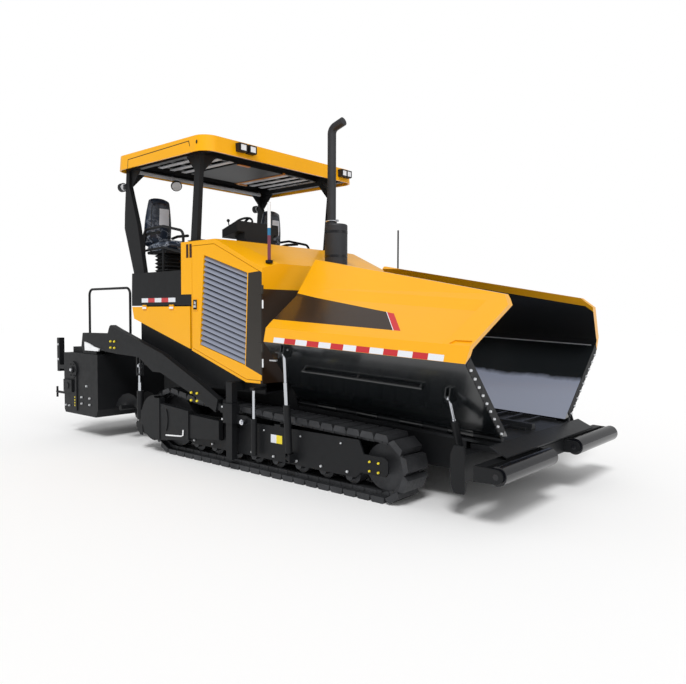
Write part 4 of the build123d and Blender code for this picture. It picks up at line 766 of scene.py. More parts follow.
def lamp_glass():
    """A lamp's lens: bright, with moulded ribs that catch the light."""
    finish = Finish("lamp_lens", roughness=0.12, coat_weight=1.0, coat_roughness=0.03)
    ribs = finish.node("TexWave", {"bands_direction": "Y"}, i0=finish.place(), scale=24.0, output="Fac")
    finish.set(base_color=finish.blend(ribs, srgb("DDE0E6"), srgb("F4F5F7")))
    finish.bump(ribs, 0.25, 0.002)
    return finish.material


zinc = plain("zinc", srgb("D3D5D8"), 0.3, metallic=0.6)
chrome_bright = plain("chrome_bright", srgb("D9DBE0"), 0.14, metallic=1.0)
black_rubber = plain("black_rubber", srgb("17181A"), 0.7, bump=0.15)
dark_gap = plain("dark_gap", srgb("0B0B0C"), 0.85)
yellow_cap = plain("yellow_cap", srgb("E8D22A"), 0.4)
white_paint = plain("white_paint", srgb("ECEDEF"), 0.4, coat=0.3)
rib_grey = plain("rib_grey", srgb("A9ABB0"), 0.45)
orange_primer = plain("orange_primer", srgb("B8741C"), 0.5)
paper = plain("paper", srgb("DDE0E8"), 0.8, grain=20.0)
tape_white = reflective("tape_white", WHITE)
tape_red = reflective("tape_red", RED)
lens = lamp_glass()
print("small finishes", len(bpy.data.materials))

# %% [markdown]
# ## The sides of the machine
# Each side that carries small things is written down once. A hopper's wing has three outside
# faces, one above another, and a front edge. The hood, the platform and the roof have upright
# sides. Left-hand sides are the mirror images of the right-hand ones.

# %% Sides
HALF_BODY = 1.25


def wing_side(side, lower, upper):
    """An outside face of a wing, between two corners of its section."""
    _, across, rise = between(lower, upper)
    return Side(
        deck(0.0, side * lower[0], lower[1]),
        deck_turn(1.0, 0.0, 0.0),
        deck_turn(0.0, side * across, rise),
        deck_turn(0.0, side * rise, -across),
    )


def upright(side, half, x=0.0):
    """An upright side that faces away from the machine's middle, placed by x and z."""
    return Side((x, side * half, 0.0), (1, 0, 0), (0, 0, 1), (0, side, 0))


BOTH = (("right", -1), ("left", 1))
print("wing band", [round(v, 3) for v in wing_side(-1, FOLD, BAND).at(0.258, 0.0)])

# %% [markdown]
# ## Reflective tape
# Road machines carry red and white tape along their sides, so that it shows in headlights. It
# is cut in equal lengths that alternate. Two rows of thin blocks make a strip, one of each
# colour, and each row steps by two lengths.

# %% Tape on the wings and the platform
TAPE_STEP = 0.1552
PLATFORM_STEP = 0.1475
TAPE_HEIGHT = 0.054
TAPE_THICK = 0.0012
TAPE_JOINT = 0.002


def tape_strip(name, body, side, start, low, count, length):
    """A strip of lengths that starts and ends in white."""
    size = (length - TAPE_JOINT, TAPE_HEIGHT, TAPE_THICK)
    for tone, finish, shift in (("white", tape_white, 0), ("red", tape_red, 1)):
        first = (start + length * (shift + 0.5), low + TAPE_HEIGHT / 2)
        row = (side, (count + 1 - shift) // 2, first, (2 * length, 0.0), size)
        rows(f"{name}_{tone}", "block", finish, body, "lamp_black", row)


for label, side in BOTH:
    band = wing_side(side, FOLD, BAND)
    tape_strip(f"{label}_wing_tape", f"{label}_wing", band, 0.258, 0.002, 13, TAPE_STEP)
    face = upright(side, HALF_BODY)
    tape_strip(f"{label}_platform_tape", "chassis", face, -1.518, 1.905, 5, PLATFORM_STEP)

# %% [markdown]
# ## Bolts
# Bright heads show where plates are bolted on: down the front edge of each wing, where the
# rubber lip is clamped, and in fours on the tow arms. Yellow caps cover the ends of pins. All
# are rows of one hexagon or one round head.

# %% Bolts
HINGE_Y = 0.76
WALL_FRONT_X = 2.476
WALL_FOOT_X = 2.482
ARM_FACE = 1.348
SKIRT_FACE = 1.228


def wing_front(side):
    """The front edge of a wing's lower wall, placed by distance up the wall and inwards."""
    length, across, rise = between((HINGE_Y, 0.0), FOLD)
    lean = (WALL_FRONT_X - WALL_FOOT_X) / length
    return Side(
        deck(WALL_FOOT_X, side * HINGE_Y, 0.0),
        deck_turn(lean, side * across, rise),
        deck_turn(0.0, -side * rise, across),
        deck_turn(1.0, 0.0, 0.0),
    )


def pairs_of_caps(side, along, heights, step, wide, proud):
    """Fours of caps: a pair along the side at each of two heights."""
    return [(side, 2, (along, up), (step, 0.0), (wide, wide, proud)) for up in heights]


for label, side in BOTH:
    edge = (wing_front(side), 9, (0.07, 0.018), (0.105, 0.0), (0.026, 0.026, 0.014))
    rows(f"{label}_wing_bolts", "round", zinc, f"{label}_wing", "chrome_rod", edge)
    arm = upright(side, ARM_FACE)
    caps = pairs_of_caps(arm, -2.107, (1.30, 1.385), 0.095, 0.03, 0.016)
    caps += pairs_of_caps(arm, -0.325, (0.742, 0.832), 0.112, 0.03, 0.016)
    rows(f"{label}_arm_caps", "round", yellow_cap, "screed", "body_yellow", *caps)
    skirt = upright(side, SKIRT_FACE)
    caps = pairs_of_caps(skirt, 2.258, (0.281, 0.370), 0.105, 0.024, 0.012)
    rows(f"{label}_track_caps", "round", yellow_cap, "chassis", "body_yellow", *caps)
    low_row = (skirt, 8, (-0.43, 0.235), (0.345, 0.0), (0.03, 0.03, 0.014))
    high_row = (skirt, 5, (-0.30, 0.50), (0.55, 0.0), (0.022, 0.022, 0.010))
    rows(f"{label}_skirt_bolts", "hexagon", zinc, "chassis", "chrome_rod", low_row, high_row)
print("bolts made")

# %% [markdown]
# ## The canopy
# The roof is a shallow moulded shell. Its side has an access panel, which shows as a thin dark
# groove, and a round breather hole. Two pairs of square lamps sit in its front edge. Below, a
# lining lies on the cross ribs, and pale strips run under them in Geometry Nodes rows. A tube
# along the rear holds the rolled blind, gussets stiffen the corners, and a work lamp hangs inside.

# %% Roof side and front lamps
ROOF_LEAN = math.radians(4.0)
ROOF_FOOT = 3.641
ROOF_HALF = 1.35
GROOVE = [(-1.658, 0.004), (-1.658, 0.112), (-0.368, 0.136), (-0.345, 0.075)]
HOLE = (-0.217, 0.105, 0.013, 0.022)
LENS = 0.042
BEZEL = 0.056


def roof_side(side):
    """The roof's side leans in; up is counted from its lower edge."""
    lean, rise = math.sin(ROOF_LEAN), math.cos(ROOF_LEAN)
    foot = (0, side * ROOF_HALF, ROOF_FOOT)
    return Side(foot, (1, 0, 0), (0, -side * lean, rise), (0, side * rise, lean))


def line_on(bm, side, points, width, thickness):
    """A narrow strip that follows straight runs on a side."""
    for (u, v), (s, t) in zip(points, points[1:]):
        way = Vector((s - u, t - v)).normalized()
        over = Vector((-way.y, way.x)) * width / 2
        ends = (Vector((u, v)) - way * width / 2, Vector((s, t)) + way * width / 2)
        outline = [ends[0] - over, ends[1] - over, ends[1] + over, ends[0] + over]
        panel(bm, side, [tuple(p) for p in outline], thickness)


def oval(along, up, half_along, half_up, steps=20):
    turns = [2 * math.pi * step / steps for step in range(steps)]
    return [(along + half_along * math.cos(a), up + half_up * math.sin(a)) for a in turns]


for label, side in BOTH:
    face = roof_side(side)
    groove = (line_on, face, GROOVE, 0.009, 0.0012)
    hole = (panel, face, oval(*HOLE), 0.0015)
    made(f"{label}_roof_groove", dark_gap, "chassis", "lamp_black", groove, hole)

front = Side((-0.009, 0.0, 3.745), (0, 1, 0), (0, 0, 1), (1, 0, 0))
panes = []
bars = []
for y in (-0.82, -0.67, 1.04, 1.13):
    panes.append((panel, front, oblong(y - LENS, -0.034, y + LENS, 0.034), 0.012))
    for left, low, right, high in (
        (-BEZEL, -0.047, BEZEL, -0.036),
        (-BEZEL, 0.036, BEZEL, 0.047),
        (-BEZEL, -0.036, -0.044, 0.036),
        (0.044, -0.036, BEZEL, 0.036),
    ):
        bars.append((panel, front, oblong(y + left, low, y + right, high), 0.016))
made("roof_lamp_lenses", lens, "chassis", "lamp_black", *panes)
made("roof_lamp_bezels", finishes["lamp_black"], "chassis", "lamp_black", *bars)

# %% Lining ribs, hatch, blind tube and gussets
LINING_Z = 3.7262
BEAM_FOOT = 3.655
GUSSET = 0.012
below = Side((0, 0, LINING_Z), (0, 1, 0), (1, 0, 0), (0, 0, -1))
right_ribs = (below, 4, (-1.06, -1.13), (0.19, 0.0), (0.075, 1.02, 0.010))
left_ribs = (below, 4, (0.56, -1.15), (0.19, 0.0), (0.075, 0.98, 0.010))
rows("lining_ribs", "block", rib_grey, "chassis", "lamp_black", right_ribs, left_ribs)
hatch_bars = (
    (cuboid, (-1.64, 0.425, 3.702), (-0.60, 0.460, 3.726)),
    (cuboid, (-1.64, 0.425, 3.702), (-1.605, 0.64, 3.726)),
    (cuboid, (-0.64, -0.38, 3.700), (-0.60, -0.18, 3.7115)),
)
made("hatch_frame", orange_primer, "chassis", "body_yellow", *hatch_bars)
hatch = (cuboid, (-1.60, -0.40, 3.7115), (-0.62, 0.425, 3.726))
made("hatch_panel", finishes["lamp_black"], "chassis", "lamp_black", hatch)
blind = [(disc, (-1.83, 0.0, BEAM_FOOT), (0, 1, 0), 0.024, 2.15, 20)]
blind += [(disc, (-1.83, y, BEAM_FOOT), (0, 1, 0), 0.03, 0.03, 20) for y in (-1.08, -0.55, 0.0, 0.55, 1.08)]
made("blind_tube", rib_grey, "chassis", "lamp_black", *blind)
gussets = []
for side in (-1, 1):
    for x0, x1 in ((-1.84, -1.62), (-0.42, -0.62)):
        corners = [(x0, side * 1.185, BEAM_FOOT), (x1, side * 1.185, BEAM_FOOT), (x0, side * 1.185, 3.42)]
        gussets.append((plate, corners, (0, -side, 0), GUSSET))
    for x in (-1.87, -0.36):
        corners = [(x, side * 1.15, BEAM_FOOT), (x, side * 0.95, BEAM_FOOT), (x, side * 1.15, 3.45)]
        gussets.append((plate, corners, (1, 0, 0), GUSSET))
made("canopy_gussets", finishes["frame_black"], "chassis", "frame_black", *gussets)


def hanging_lamp(bm, glass, centre, way, radius, depth):
    """An oval work lamp: a cupped back, a rim and its glass."""
    centre, way = Vector(centre), Vector(way).normalized()
    disc(bm, centre - way * depth * 0.5, way, radius * 0.55, depth, tip=radius)
    disc(bm, centre + way * 0.008, way, radius * 1.04, 0.016)
    disc(glass, centre + way * 0.018, way, radius * 0.88, 0.008)


backs = bmesh.new()
glasses = bmesh.new()
hanging_lamp(backs, glasses, (-1.80, -0.50, 3.56), (0.75, -0.35, -0.6), 0.075, 0.07)
tube(backs, [(-1.83, -0.50, 3.64), (-1.83, -0.49, 3.59)], 0.012)
for label, side in BOTH:
    for x in (-2.064, -1.994):
        disc(glasses, (x, side * 1.20, 3.46), (1, 0, 0), 0.048, 0.008)
new_piece("work_lamps", backs, finishes["lamp_black"], "chassis", "lamp_black")
new_piece("work_lamp_glasses", glasses, lens, "chassis", "lamp_black")
print("canopy dressed")

# %% [markdown]
# ## Hood and doors
# A hood breathes and opens: two upright slots at its rear corner, a sunk latch in each door, and hinges at the
# door's front edge whose knuckles are worn bright. Behind the louvres stands a dark plate, painted shade that
# makes the gaps between the blades black. A blank label is stuck beside the track. These are thin trims, so
# each is a plate that stands a millimetre or a few proud.

# %% Vents, latches and knuckles
VENTS = (-0.533, -0.468)
VENT_HALF = 0.022
LOUVRE_SHADE_PLATE = [(-0.295, 1.415), (0.50, 1.195), (0.543, 2.195), (-0.205, 2.44)]
LATCH_TONGUE = [(-0.392, 1.880), (-0.360, 1.868), (-0.352, 1.90), (-0.386, 1.912)]
FLAP_FACE = 1.2615
FLAP_HALF = 0.042

for label, side in BOTH:
    face = upright(side, HALF_BODY)
    slots = [(panel, face, oblong(x - VENT_HALF, 2.432, x + VENT_HALF, 2.596), 0.001) for x in VENTS]
    made(f"{label}_hood_vents", finishes["vent_brown"], "chassis", "body_yellow", *slots)
    fins = [(face, 9, (x, 2.447), (0.0, 0.0168), (0.044, 0.004, 0.003)) for x in VENTS]
    rows(f"{label}_vent_fins", "block", dark_gap, "chassis", "body_yellow", *fins)
    door = upright(side, HALF_BODY + 0.008)
    cup = (panel, door, oblong(-0.41, 1.812, -0.34, 1.928), 0.002)
    made(f"{label}_latch_cup", dark_gap, f"{label}_door", "lamp_black", cup)
    # Painted shade: a dark plate behind the louvres blacks out the hood's inside between the blades.
    screen = (panel, upright(side, 1.190), LOUVRE_SHADE_PLATE, 0.002)
    made(f"{label}_louvre_screen", dark_gap, f"{label}_door", "lamp_black", screen)
    grip = (panel, door, oblong(-0.398, 1.835, -0.352, 1.862), 0.008)
    tongue = (panel, door, LATCH_TONGUE, 0.006)
    made(f"{label}_latch_lever", zinc, f"{label}_door", "chrome_rod", grip, tongue)
    knuckles = [(disc, (0.8025, side * 1.254, z), (0, 0, 1), 0.009, 0.09, 16) for z in (1.23, 1.866)]
    made(f"{label}_door_knuckles", white_paint, f"{label}_door", "chrome_rod", *knuckles)
    flap = upright(side, FLAP_FACE)
    leaves = []
    for x in (-1.44, -0.85):
        leaves.append((panel, flap, oblong(x - FLAP_HALF, 1.822, x + FLAP_HALF, 1.848), 0.004))
    made(f"{label}_flap_hinges", white_paint, f"{label}_flap", "chrome_rod", *leaves)
skirt = upright(-1, SKIRT_FACE)
white_half = (panel, skirt, oblong(0.90, 0.38, 0.985, 0.468), 0.001)
made("label_white_half", paper, "chassis", "lamp_black", white_half)
yellow_half = (panel, skirt, oblong(0.985, 0.38, 1.073, 0.468), 0.001)
made("label_yellow_half", yellow_cap, "chassis", "body_yellow", yellow_half)
print("hood dressed")

# %% [markdown]
# ## Pole and exhaust
# The pole on the hood is a sight for the driver. Its chrome stem carries bands of plum, blue and white, which
# are painted reflections of the surroundings. The silencer has a strap, a rain-tight collar and a clamp at the
# pipe's foot.

# %% Painted reflections on the pole, clamps on the exhaust
POLE = (0.74, -1.10)
SILENCER = (0.62, 0.15)
UP = (0, 0, 1)

# The plum, blue and white bands on the chrome stem are painted reflections of the surroundings.
for name, finish, low, high in (
    ("pole_film_plum", finishes["film_plum"], 2.345, 2.62),
    ("pole_film_blue", finishes["film_blue"], 2.62, 2.70),
    ("pole_film_white", white_paint, 2.70, 2.978),
):
    made(name, finish, "chassis", "lamp_black", (disc, (*POLE, (low + high) / 2), UP, 0.0185, high - low, 20))
ring = arc((0.545, 0.15, 2.925), (0.071, 0, 0), (0, 0.071, 0), 0, 345, 28)
screw = (cuboid, (0.60, 0.135, 2.912), (0.65, 0.165, 2.938))
made("pipe_clamp", chrome_bright, "chassis", "chrome_rod", (tube, ring, 0.008, 10, True), screw)
straps = [(disc, (*SILENCER, z), UP, 0.1445, 0.03, 40) for z in (2.48, 2.78)]
made("silencer_straps", finishes["roller_black"], "chassis", "roller_black", *straps)
print("exhaust dressed")

# %% [markdown]
# ## Seats
# Two driver's seats stand beside each other, still in the clear film that they are shipped in.
# A cushion is foam inside a sewn cover: it is fullest in the middle and pulls in between its
# corners. Each pad starts as a rounded block a little too small, becomes an even mesh by voxel
# remesh, and is blown up by cloth pressure, with no point allowed further than a set cap. The
# piping is laid on afterwards, on the swollen surface, because remeshing would rub it out.
# Under each seat is the rubber bellows of its suspension.

# %% Pads blown up by cloth pressure
PAD_VOXEL = 0.012
PAD_FRAMES = 20
PAD_PRESSURE = 4.0
PAD_ROUND = 0.55


def block_pad(size, turn, centre, crown, narrow=0.0):
    """A rounded pillow block: its sides are full, and its top end may be narrower."""
    bm = bmesh.new()
    bmesh.ops.create_cube(bm, size=1.0)
    bmesh.ops.subdivide_edges(bm, edges=bm.edges, cuts=7, use_grid_fill=True)
    for vert in bm.verts:
        x, y, z = (c * 2 for c in vert.co)
        corner = x * x * y * y + y * y * z * z + z * z * x * x
        soft = math.sqrt(max(0.0, 1 - PAD_ROUND * corner / 3))
        width = 1 - narrow * (y + 1) / 2
        swell = crown * (1 - x * x) * (1 - y * y)
        half_x, half_y, half_z = (s / 2 for s in size)
        vert.co = Vector((x * soft * width * half_x, y * soft * half_y, z * soft * half_z + z * swell))
    place = Matrix.Translation(Vector(centre)) @ Euler(turn).to_matrix().to_4x4()
    bmesh.ops.transform(bm, matrix=place, verts=bm.verts)
    mesh = bpy.data.meshes.new("pad")
    bm.to_mesh(mesh)
    bm.free()
    return mesh


def with_modifier(mesh, kind, settings):
    holder = held(mesh)
    modifier = holder.modifiers.new("step", kind)
    for key, value in settings.items():
        setattr(modifier, key, value)
    return baked(holder)


def blown_up(mesh, cap):
    """Cloth pressure swells the pad. No point moves further than the cap."""
    start = [vert.co.copy() for vert in mesh.vertices]
    holder = held(mesh)
    cloth = holder.modifiers.new("cloth", "CLOTH")
    cloth.settings.use_pressure = True
    cloth.settings.uniform_pressure_force = PAD_PRESSURE
    cloth.settings.effector_weights.gravity = 0.0
    scene = bpy.context.scene
    for frame_number in range(1, PAD_FRAMES + 1):
        scene.frame_set(frame_number)
    swollen = baked(holder)
    scene.frame_set(1)
    for vert, first in zip(swollen.vertices, start):
        move = vert.co - first
        if move.length > cap:
            vert.co = first + move.normalized() * cap
    return swollen


def pad(name, size, turn, centre, crown, cap, narrow):
    mesh = block_pad(size, turn, centre, crown, narrow)
    settings = {"mode": "VOXEL", "voxel_size": PAD_VOXEL, "use_smooth_shade": True}
    mesh = with_modifier(mesh, "REMESH", settings)
    mesh = blown_up(mesh, cap)
    mesh = with_modifier(mesh, "SMOOTH", {"iterations": 6})
    mesh = with_modifier(mesh, "SUBSURF", {"levels": 1, "render_levels": 1})
    mesh.polygons.foreach_set("use_smooth", [True] * len(mesh.polygons))
    piece = dress(name, mesh, finishes["seat_film"], "chassis", "seat_black")
    return piece

# %% Things laid on a pad
PIPING_STEPS = 64
PIPING_SQUARE = 0.45


def dropper(piece, centre, turn):
    """A function that drops a point above a pad onto its surface, with a small lift."""
    tree = BVHTree.FromObject(piece, bpy.context.evaluated_depsgraph_get())
    matrix = Euler(turn).to_matrix()
    way = matrix @ Vector((0.0, 0.0, 1.0))

    def drop(point, lift):
        start = Vector(centre) + matrix @ Vector((*point, 0.0)) + way * 0.4
        hit = tree.ray_cast(start, -way)[0]
        return hit + way * lift if hit is not None else start - way * 0.4

    return drop


def piping(bm, piece, centre, turn, half_x, half_y):
    """A cord sewn round a pad: a rounded rectangle dropped onto its surface."""
    drop = dropper(piece, centre, turn)
    points = []
    for step in range(PIPING_STEPS):
        angle = 2 * math.pi * step / PIPING_STEPS
        x, y = (math.copysign(abs(c) ** PIPING_SQUARE, c) for c in (math.cos(angle), math.sin(angle)))
        points.append(drop((half_x * x, half_y * y), 0.0))
    tube(bm, points, 0.0045, sides=8, closed=True)


def laid_paper(bm, piece, centre, turn, low, high):
    """A sheet of paper under the film: a grid dropped onto the pad."""
    drop = dropper(piece, centre, turn)
    columns, lines = 6, 8
    grid = []
    for j in range(lines + 1):
        for i in range(columns + 1):
            x = low[0] + (high[0] - low[0]) * i / columns
            y = low[1] + (high[1] - low[1]) * j / lines
            grid.append(bm.verts.new(drop((x, y), 0.0015)))
    for j in range(lines):
        for i in range(columns):
            first = j * (columns + 1) + i
            above = first + columns + 1
            bm.faces.new((grid[first], grid[first + 1], grid[above + 1], grid[above]))

# %% Two seats
SEAT_FLOOR = 1.95
SEATS = (("right", -1.46, -0.86), ("left", -1.08, 0.86))
CUSHION = {"size": (0.475, 0.50, 0.115), "turn": (math.radians(4.0), 0.0, math.radians(-90.0))}
BACK = {"size": (0.475, 0.70, 0.10), "turn": (math.radians(95.0), 0.0, math.radians(90.0))}
seat_pieces = []
for label, x, y in SEATS:
    low_at = Vector((x + 0.005, y, 2.642))
    high_at = Vector((x - 0.255, y, 2.985))
    cushion = pad(f"{label}_seat_cushion", centre=low_at, crown=0.012, cap=0.010, narrow=0.06, **CUSHION)
    back = pad(f"{label}_seat_back", centre=high_at, crown=0.010, cap=0.010, narrow=0.24, **BACK)
    cords = made(
        f"{label}_seat_piping",
        black_rubber,
        "chassis",
        "seat_black",
        (piping, cushion, low_at, CUSHION["turn"], 0.17, 0.18),
        (piping, back, high_at, BACK["turn"], 0.145, 0.27),
    )
    page = (laid_paper, back, high_at, BACK["turn"], (-0.03, -0.02), (0.13, 0.20))
    sheet = made(f"{label}_seat_paper", paper, "chassis", "seat_black", page)
    seat_pieces += [cushion, back, cords, sheet]
print("pads", len(seat_pieces), "vertices", sum(len(p.data.vertices) for p in seat_pieces))

# %% Bellows, pedestals and armrests
BELLOWS = (SEAT_FLOOR + 0.31, SEAT_FLOOR + 0.60)
FOLDS = 6
NECK = 0.118
RIDGE = 0.15
# The pedestal's boxes. Columns: half length, half width, foot and top over the seat's floor
PEDESTAL = ((0.168, 0.178, 0.001, 0.30), (0.20, 0.20, 0.30, 0.318), (0.21, 0.20, 0.60, 0.64))
OCTAGON = ((-1, -0.8), (-0.8, -1), (0.8, -1), (1, -0.8), (1, 0.8), (0.8, 1), (-0.8, 1), (-1, 0.8))


def ring_at(bm, x, y, height, half):
    return [bm.verts.new((x + a * half, y + b * half, height)) for a, b in OCTAGON]


def bellows(bm, x, y):
    """Folds of rubber between a foot and a plate, each out and in again."""
    step = (BELLOWS[1] - BELLOWS[0]) / FOLDS
    for fold in range(FOLDS):
        z = BELLOWS[0] + fold * step
        middle = z + step / 2
        for levels in (((z, NECK), (middle, RIDGE)), ((middle, RIDGE), (z + step, NECK))):
            low, high = (ring_at(bm, x, y, height, half) for height, half in levels)
            for index in range(8):
                after = (index + 1) % 8
                bm.faces.new((low[index], low[after], high[after], high[index]))
    bmesh.ops.remove_doubles(bm, verts=bm.verts, dist=0.0005)
    bmesh.ops.holes_fill(bm, edges=bm.edges, sides=8)


def pedestal(bm, x, y):
    """A box foot, two plates round the bellows and a bent post behind."""
    for half_x, half_y, low, high in PEDESTAL:
        low_corner = (x - half_x, y - half_y, SEAT_FLOOR + low)
        cuboid(bm, low_corner, (x + half_x, y + half_y, SEAT_FLOOR + high))
    post = [(x - 0.22, y, SEAT_FLOOR + 0.62), (x - 0.262, y, SEAT_FLOOR + 0.74), (x - 0.285, y, 3.1)]
    tube(bm, post, 0.028)
    long_edges = [edge for edge in bm.edges if edge.calc_length() > 0.3]
    bmesh.ops.bevel(bm, geom=long_edges, offset=0.006, segments=2, affect="EDGES")


def armrests(bm, x, y):
    for across in (-1, 1):
        start = Vector((x - 0.25, y + across * 0.222, 2.80))
        tube(bm, [start, start + Vector((0.12, 0, 0.02)), start + Vector((0.36, 0, 0.015))], 0.019, sides=12)


for label, x, y in SEATS:
    for part, finish, shape in (
        ("bellows", black_rubber, bellows),
        ("pedestal", finishes["frame_black"], pedestal),
        ("armrests", black_rubber, armrests),
    ):
        seat_pieces.append(made(f"{label}_seat_{part}", finish, "chassis", "seat_black", (shape, x, y)))
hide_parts("seats")
print("seat pieces", len(seat_pieces))

# %% [markdown]
# ## The driver's desk
# Between the seats and the hood stands the desk: a sloping panel with blank screens, rows of round buttons and
# two levers with soft knobs. Everything lies on the desk's own sloping side.

# %% Desk
desk = Side((-1.01, 0.0, 2.90), (0, 1, 0), (0.31, 0.0, 0.10), (-0.10, 0.0, 0.31))
screen_frame = (panel, desk, oblong(-0.28, 0.05, -0.10, 0.24), 0.008)
key_plate = (panel, desk, oblong(0.20, 0.09, 0.38, 0.26), 0.006)
made("desk_panels", finishes["lamp_black"], "chassis", "lamp_black", screen_frame, key_plate)
glass = (panel, desk, oblong(-0.265, 0.07, -0.115, 0.22), 0.0012, 0.008)
made("desk_screen", finishes["screen"], "chassis", "lamp_black", glass)
buttons = (
    (desk, 4, (-0.05, 0.22), (0.045, 0.0), (0.024, 0.024, 0.02)),
    (desk, 4, (0.225, 0.12), (0.045, 0.0), (0.022, 0.022, 0.03)),
    (desk, 4, (0.225, 0.17), (0.045, 0.0), (0.022, 0.022, 0.03)),
)
rows("desk_buttons", "round", zinc, "chassis", "lamp_black", *buttons)


def lever(bm, along):
    foot = desk.at(along, 0.03)
    tube(bm, [foot, foot + Vector((-0.02, 0, 0.07)), foot + Vector((-0.03, 0, 0.11))], 0.007)
    knob = Matrix.Translation(foot + Vector((-0.032, 0, 0.125)))
    bmesh.ops.create_uvsphere(bm, u_segments=16, v_segments=10, radius=0.022, matrix=knob)


made("desk_levers", black_rubber, "chassis", "lamp_black", (lever, -0.22), (lever, 0.24))
print("desk dressed")

# %% [markdown]
# ## Track links
# A track is a chain of equal links on pins, with a shoe bolted to each. In the steel frame the
# chain is one loop. Geometry Nodes set the links: the chain's line is a closed curve, it is
# divided evenly, and at each point stands a link turned along the curve. The line is the same
# as in the steel: a circle round the sprocket, one round the idler, and the sag between them.

# %% The line of the chain
SHOE_COUNT = 56
CHAIN_CIRCLES = ((-0.88, 0.415, 0.36), (-0.25, 2.20, -1.50), (2.38, 0.325, 0.27))


def chain_line(inset, steps=20):
    """Points along the chain, clockwise seen from the right, an inset inside the shoes."""
    circles = CHAIN_CIRCLES
    count = len(circles)
    leaves = []
    for index, (x, z, radius) in enumerate(circles):
        other = circles[(index + 1) % count]
        way = math.atan2(other[1] - z, other[0] - x)
        apart = math.dist((x, z), other[:2])
        leaves.append(way + math.acos((radius - other[2]) / apart))
    points = []
    for index, facing in enumerate(leaves):
        x, z, radius = circles[(index + 1) % count]
        after = leaves[(index + 1) % count]
        turn = (after - facing) % (2 * math.pi) if radius < 0 else -((facing - after) % (2 * math.pi))
        for step in range(steps + 1):
            angle = facing + turn * step / steps
            reach = radius - inset
            points.append((x + reach * math.cos(angle), z + reach * math.sin(angle)))
    return points


def link_tree(name, finish):
    """Links along a closed line. Inputs: how many, and a link's size and pin."""
    geometry = ("Geometry", "Geometry")
    tree, given = new_tree(name, geometry, ("Count", "Int"), ("Link", "Vector"), ("Pin", "Vector"))
    curve = built(tree, "GeometryNodeMeshToCurve", mesh=given["Geometry"])
    even = built(tree, "GeometryNodeResampleCurve", curve=curve.outputs[0], count=given["Count"])
    along = built(tree, "GeometryNodeInputTangent").outputs[0]
    turned = built(tree, "FunctionNodeAlignEulerToVector", {"axis": "X", "pivot_axis": "Y"}, vector=along)
    cube = built(tree, "GeometryNodeMeshCube").outputs["Mesh"]
    bar = built(tree, "GeometryNodeTransform", geometry=cube, scale=given["Link"])
    round_end = built(tree, "GeometryNodeMeshCylinder", vertices=10, radius=0.5, depth=1.0)
    across = (math.radians(90), 0.0, 0.0)
    end = round_end.outputs["Mesh"]
    pin = built(tree, "GeometryNodeTransform", geometry=end, scale=given["Pin"], rotation=across)
    both = built(tree, "GeometryNodeJoinGeometry", geometry=bar.outputs[0])
    tree.links.new(pin.outputs[0], both.inputs[0])
    places = {"points": even.outputs[0], "instance": both.outputs[0], "rotation": turned.outputs[0]}
    copies = built(tree, "GeometryNodeInstanceOnPoints", **places)
    return finished_with(tree, copies.outputs[0], finish)

# %% Links on both tracks
TRACK_Y = 1.0825
CHAIN_HALF = 0.088
LINK = (0.15, 0.024, 0.040)
LINK_PIN = (0.044, 0.044, 0.036)


def loop_mesh(points, y):
    mesh = bpy.data.meshes.new("line")
    count = len(points)
    mesh.from_pydata([(x, y, z) for x, z in points], [(i, (i + 1) % count) for i in range(count)], [])
    return mesh


links = link_tree("track_links", finishes["track_steel"])
for label, side in BOTH:
    bm = bmesh.new()
    for y in (TRACK_Y - CHAIN_HALF, TRACK_Y + CHAIN_HALF):
        line = loop_mesh(chain_line(0.024), side * y)
        bm.from_mesh(grown(links, {"Count": SHOE_COUNT, "Link": LINK, "Pin": LINK_PIN}, line))
    new_piece(f"{label}_track_links", bm, finishes["track_steel"], "chassis", "track_steel")
print("links per track", 2 * SHOE_COUNT)

# %% [markdown]
# ## Beside the track
# The guard over the rear of the track has a folding handle of bright rod. The slider that tows
# the screed ends in a large bright pin, and the cylinders' pins have bright heads too.

# %% Handle, pins and collars
ACROSS = (0, 1, 0)
LOCK_Z = 1.275

for label, side in BOTH:
    y = side * 1.352
    handle = (tube, [(-0.85, y, 0.262), (-0.54, y, 0.285), (-0.505, y, 0.30), (-0.498, y, 0.365)], 0.009)
    made(f"{label}_guard_handle", white_paint, "chassis", "chrome_rod", handle)
    head = (disc, (0.573, y, 0.576), ACROSS, 0.030, 0.02)
    nut = (disc, (0.573, side * 1.366, 0.576), ACROSS, 0.020, 0.02, 6)
    made(f"{label}_slider_pin_head", chrome_bright, "tow_points", "chrome_rod", head, nut)
    bolts = [(disc, (0.255, side * 1.365, z), ACROSS, 0.012, 0.014, 6) for z in (0.58, 0.72)]
    made(f"{label}_slider_bolts", zinc, "tow_points", "chrome_rod", *bolts)
    y = side * 1.345
    cap = (disc, (1.32, side * 1.405, 1.40), ACROSS, 0.018, 0.02, 6)
    stem = (tube, [(1.06, side * 1.29, LOCK_Z), (1.06, y, LOCK_Z)], 0.009)
    grip = (tube, [(1.01, y, LOCK_Z), (1.11, y, LOCK_Z)], 0.008)
    made(f"{label}_wing_lock_pin", zinc, f"{label}_wing", "chrome_rod", cap, stem, grip)
marks = [(disc, (3.51, y, 0.563), UP, 0.016, 0.008) for y in (-0.476, 0.107)]
made("apron_marks", yellow_cap, "chassis", "body_yellow", *marks)
print("track sides dressed")

# %% [markdown]
# ## The screed's ends
# Each end of the screed is a plate with the drive's round cover, bolt heads, yellow grease
# caps and a scale strip. Small fasteners are rows again. The spindle that sets the crown has a
# white clamp on the walkway above.

# %% Screed ends
COVER = (-3.086, 0.948)
COVER_BOLTS = 0.092
CLAMP = [(-2.78, 1.24), (-2.42, 1.24), (-2.40, 1.275), (-2.55, 1.30), (-2.70, 1.345), (-2.79, 1.36)]
HEAD = (0.034, 0.034, 0.018)
SMALL_HEAD = (0.030, 0.030, 0.018)

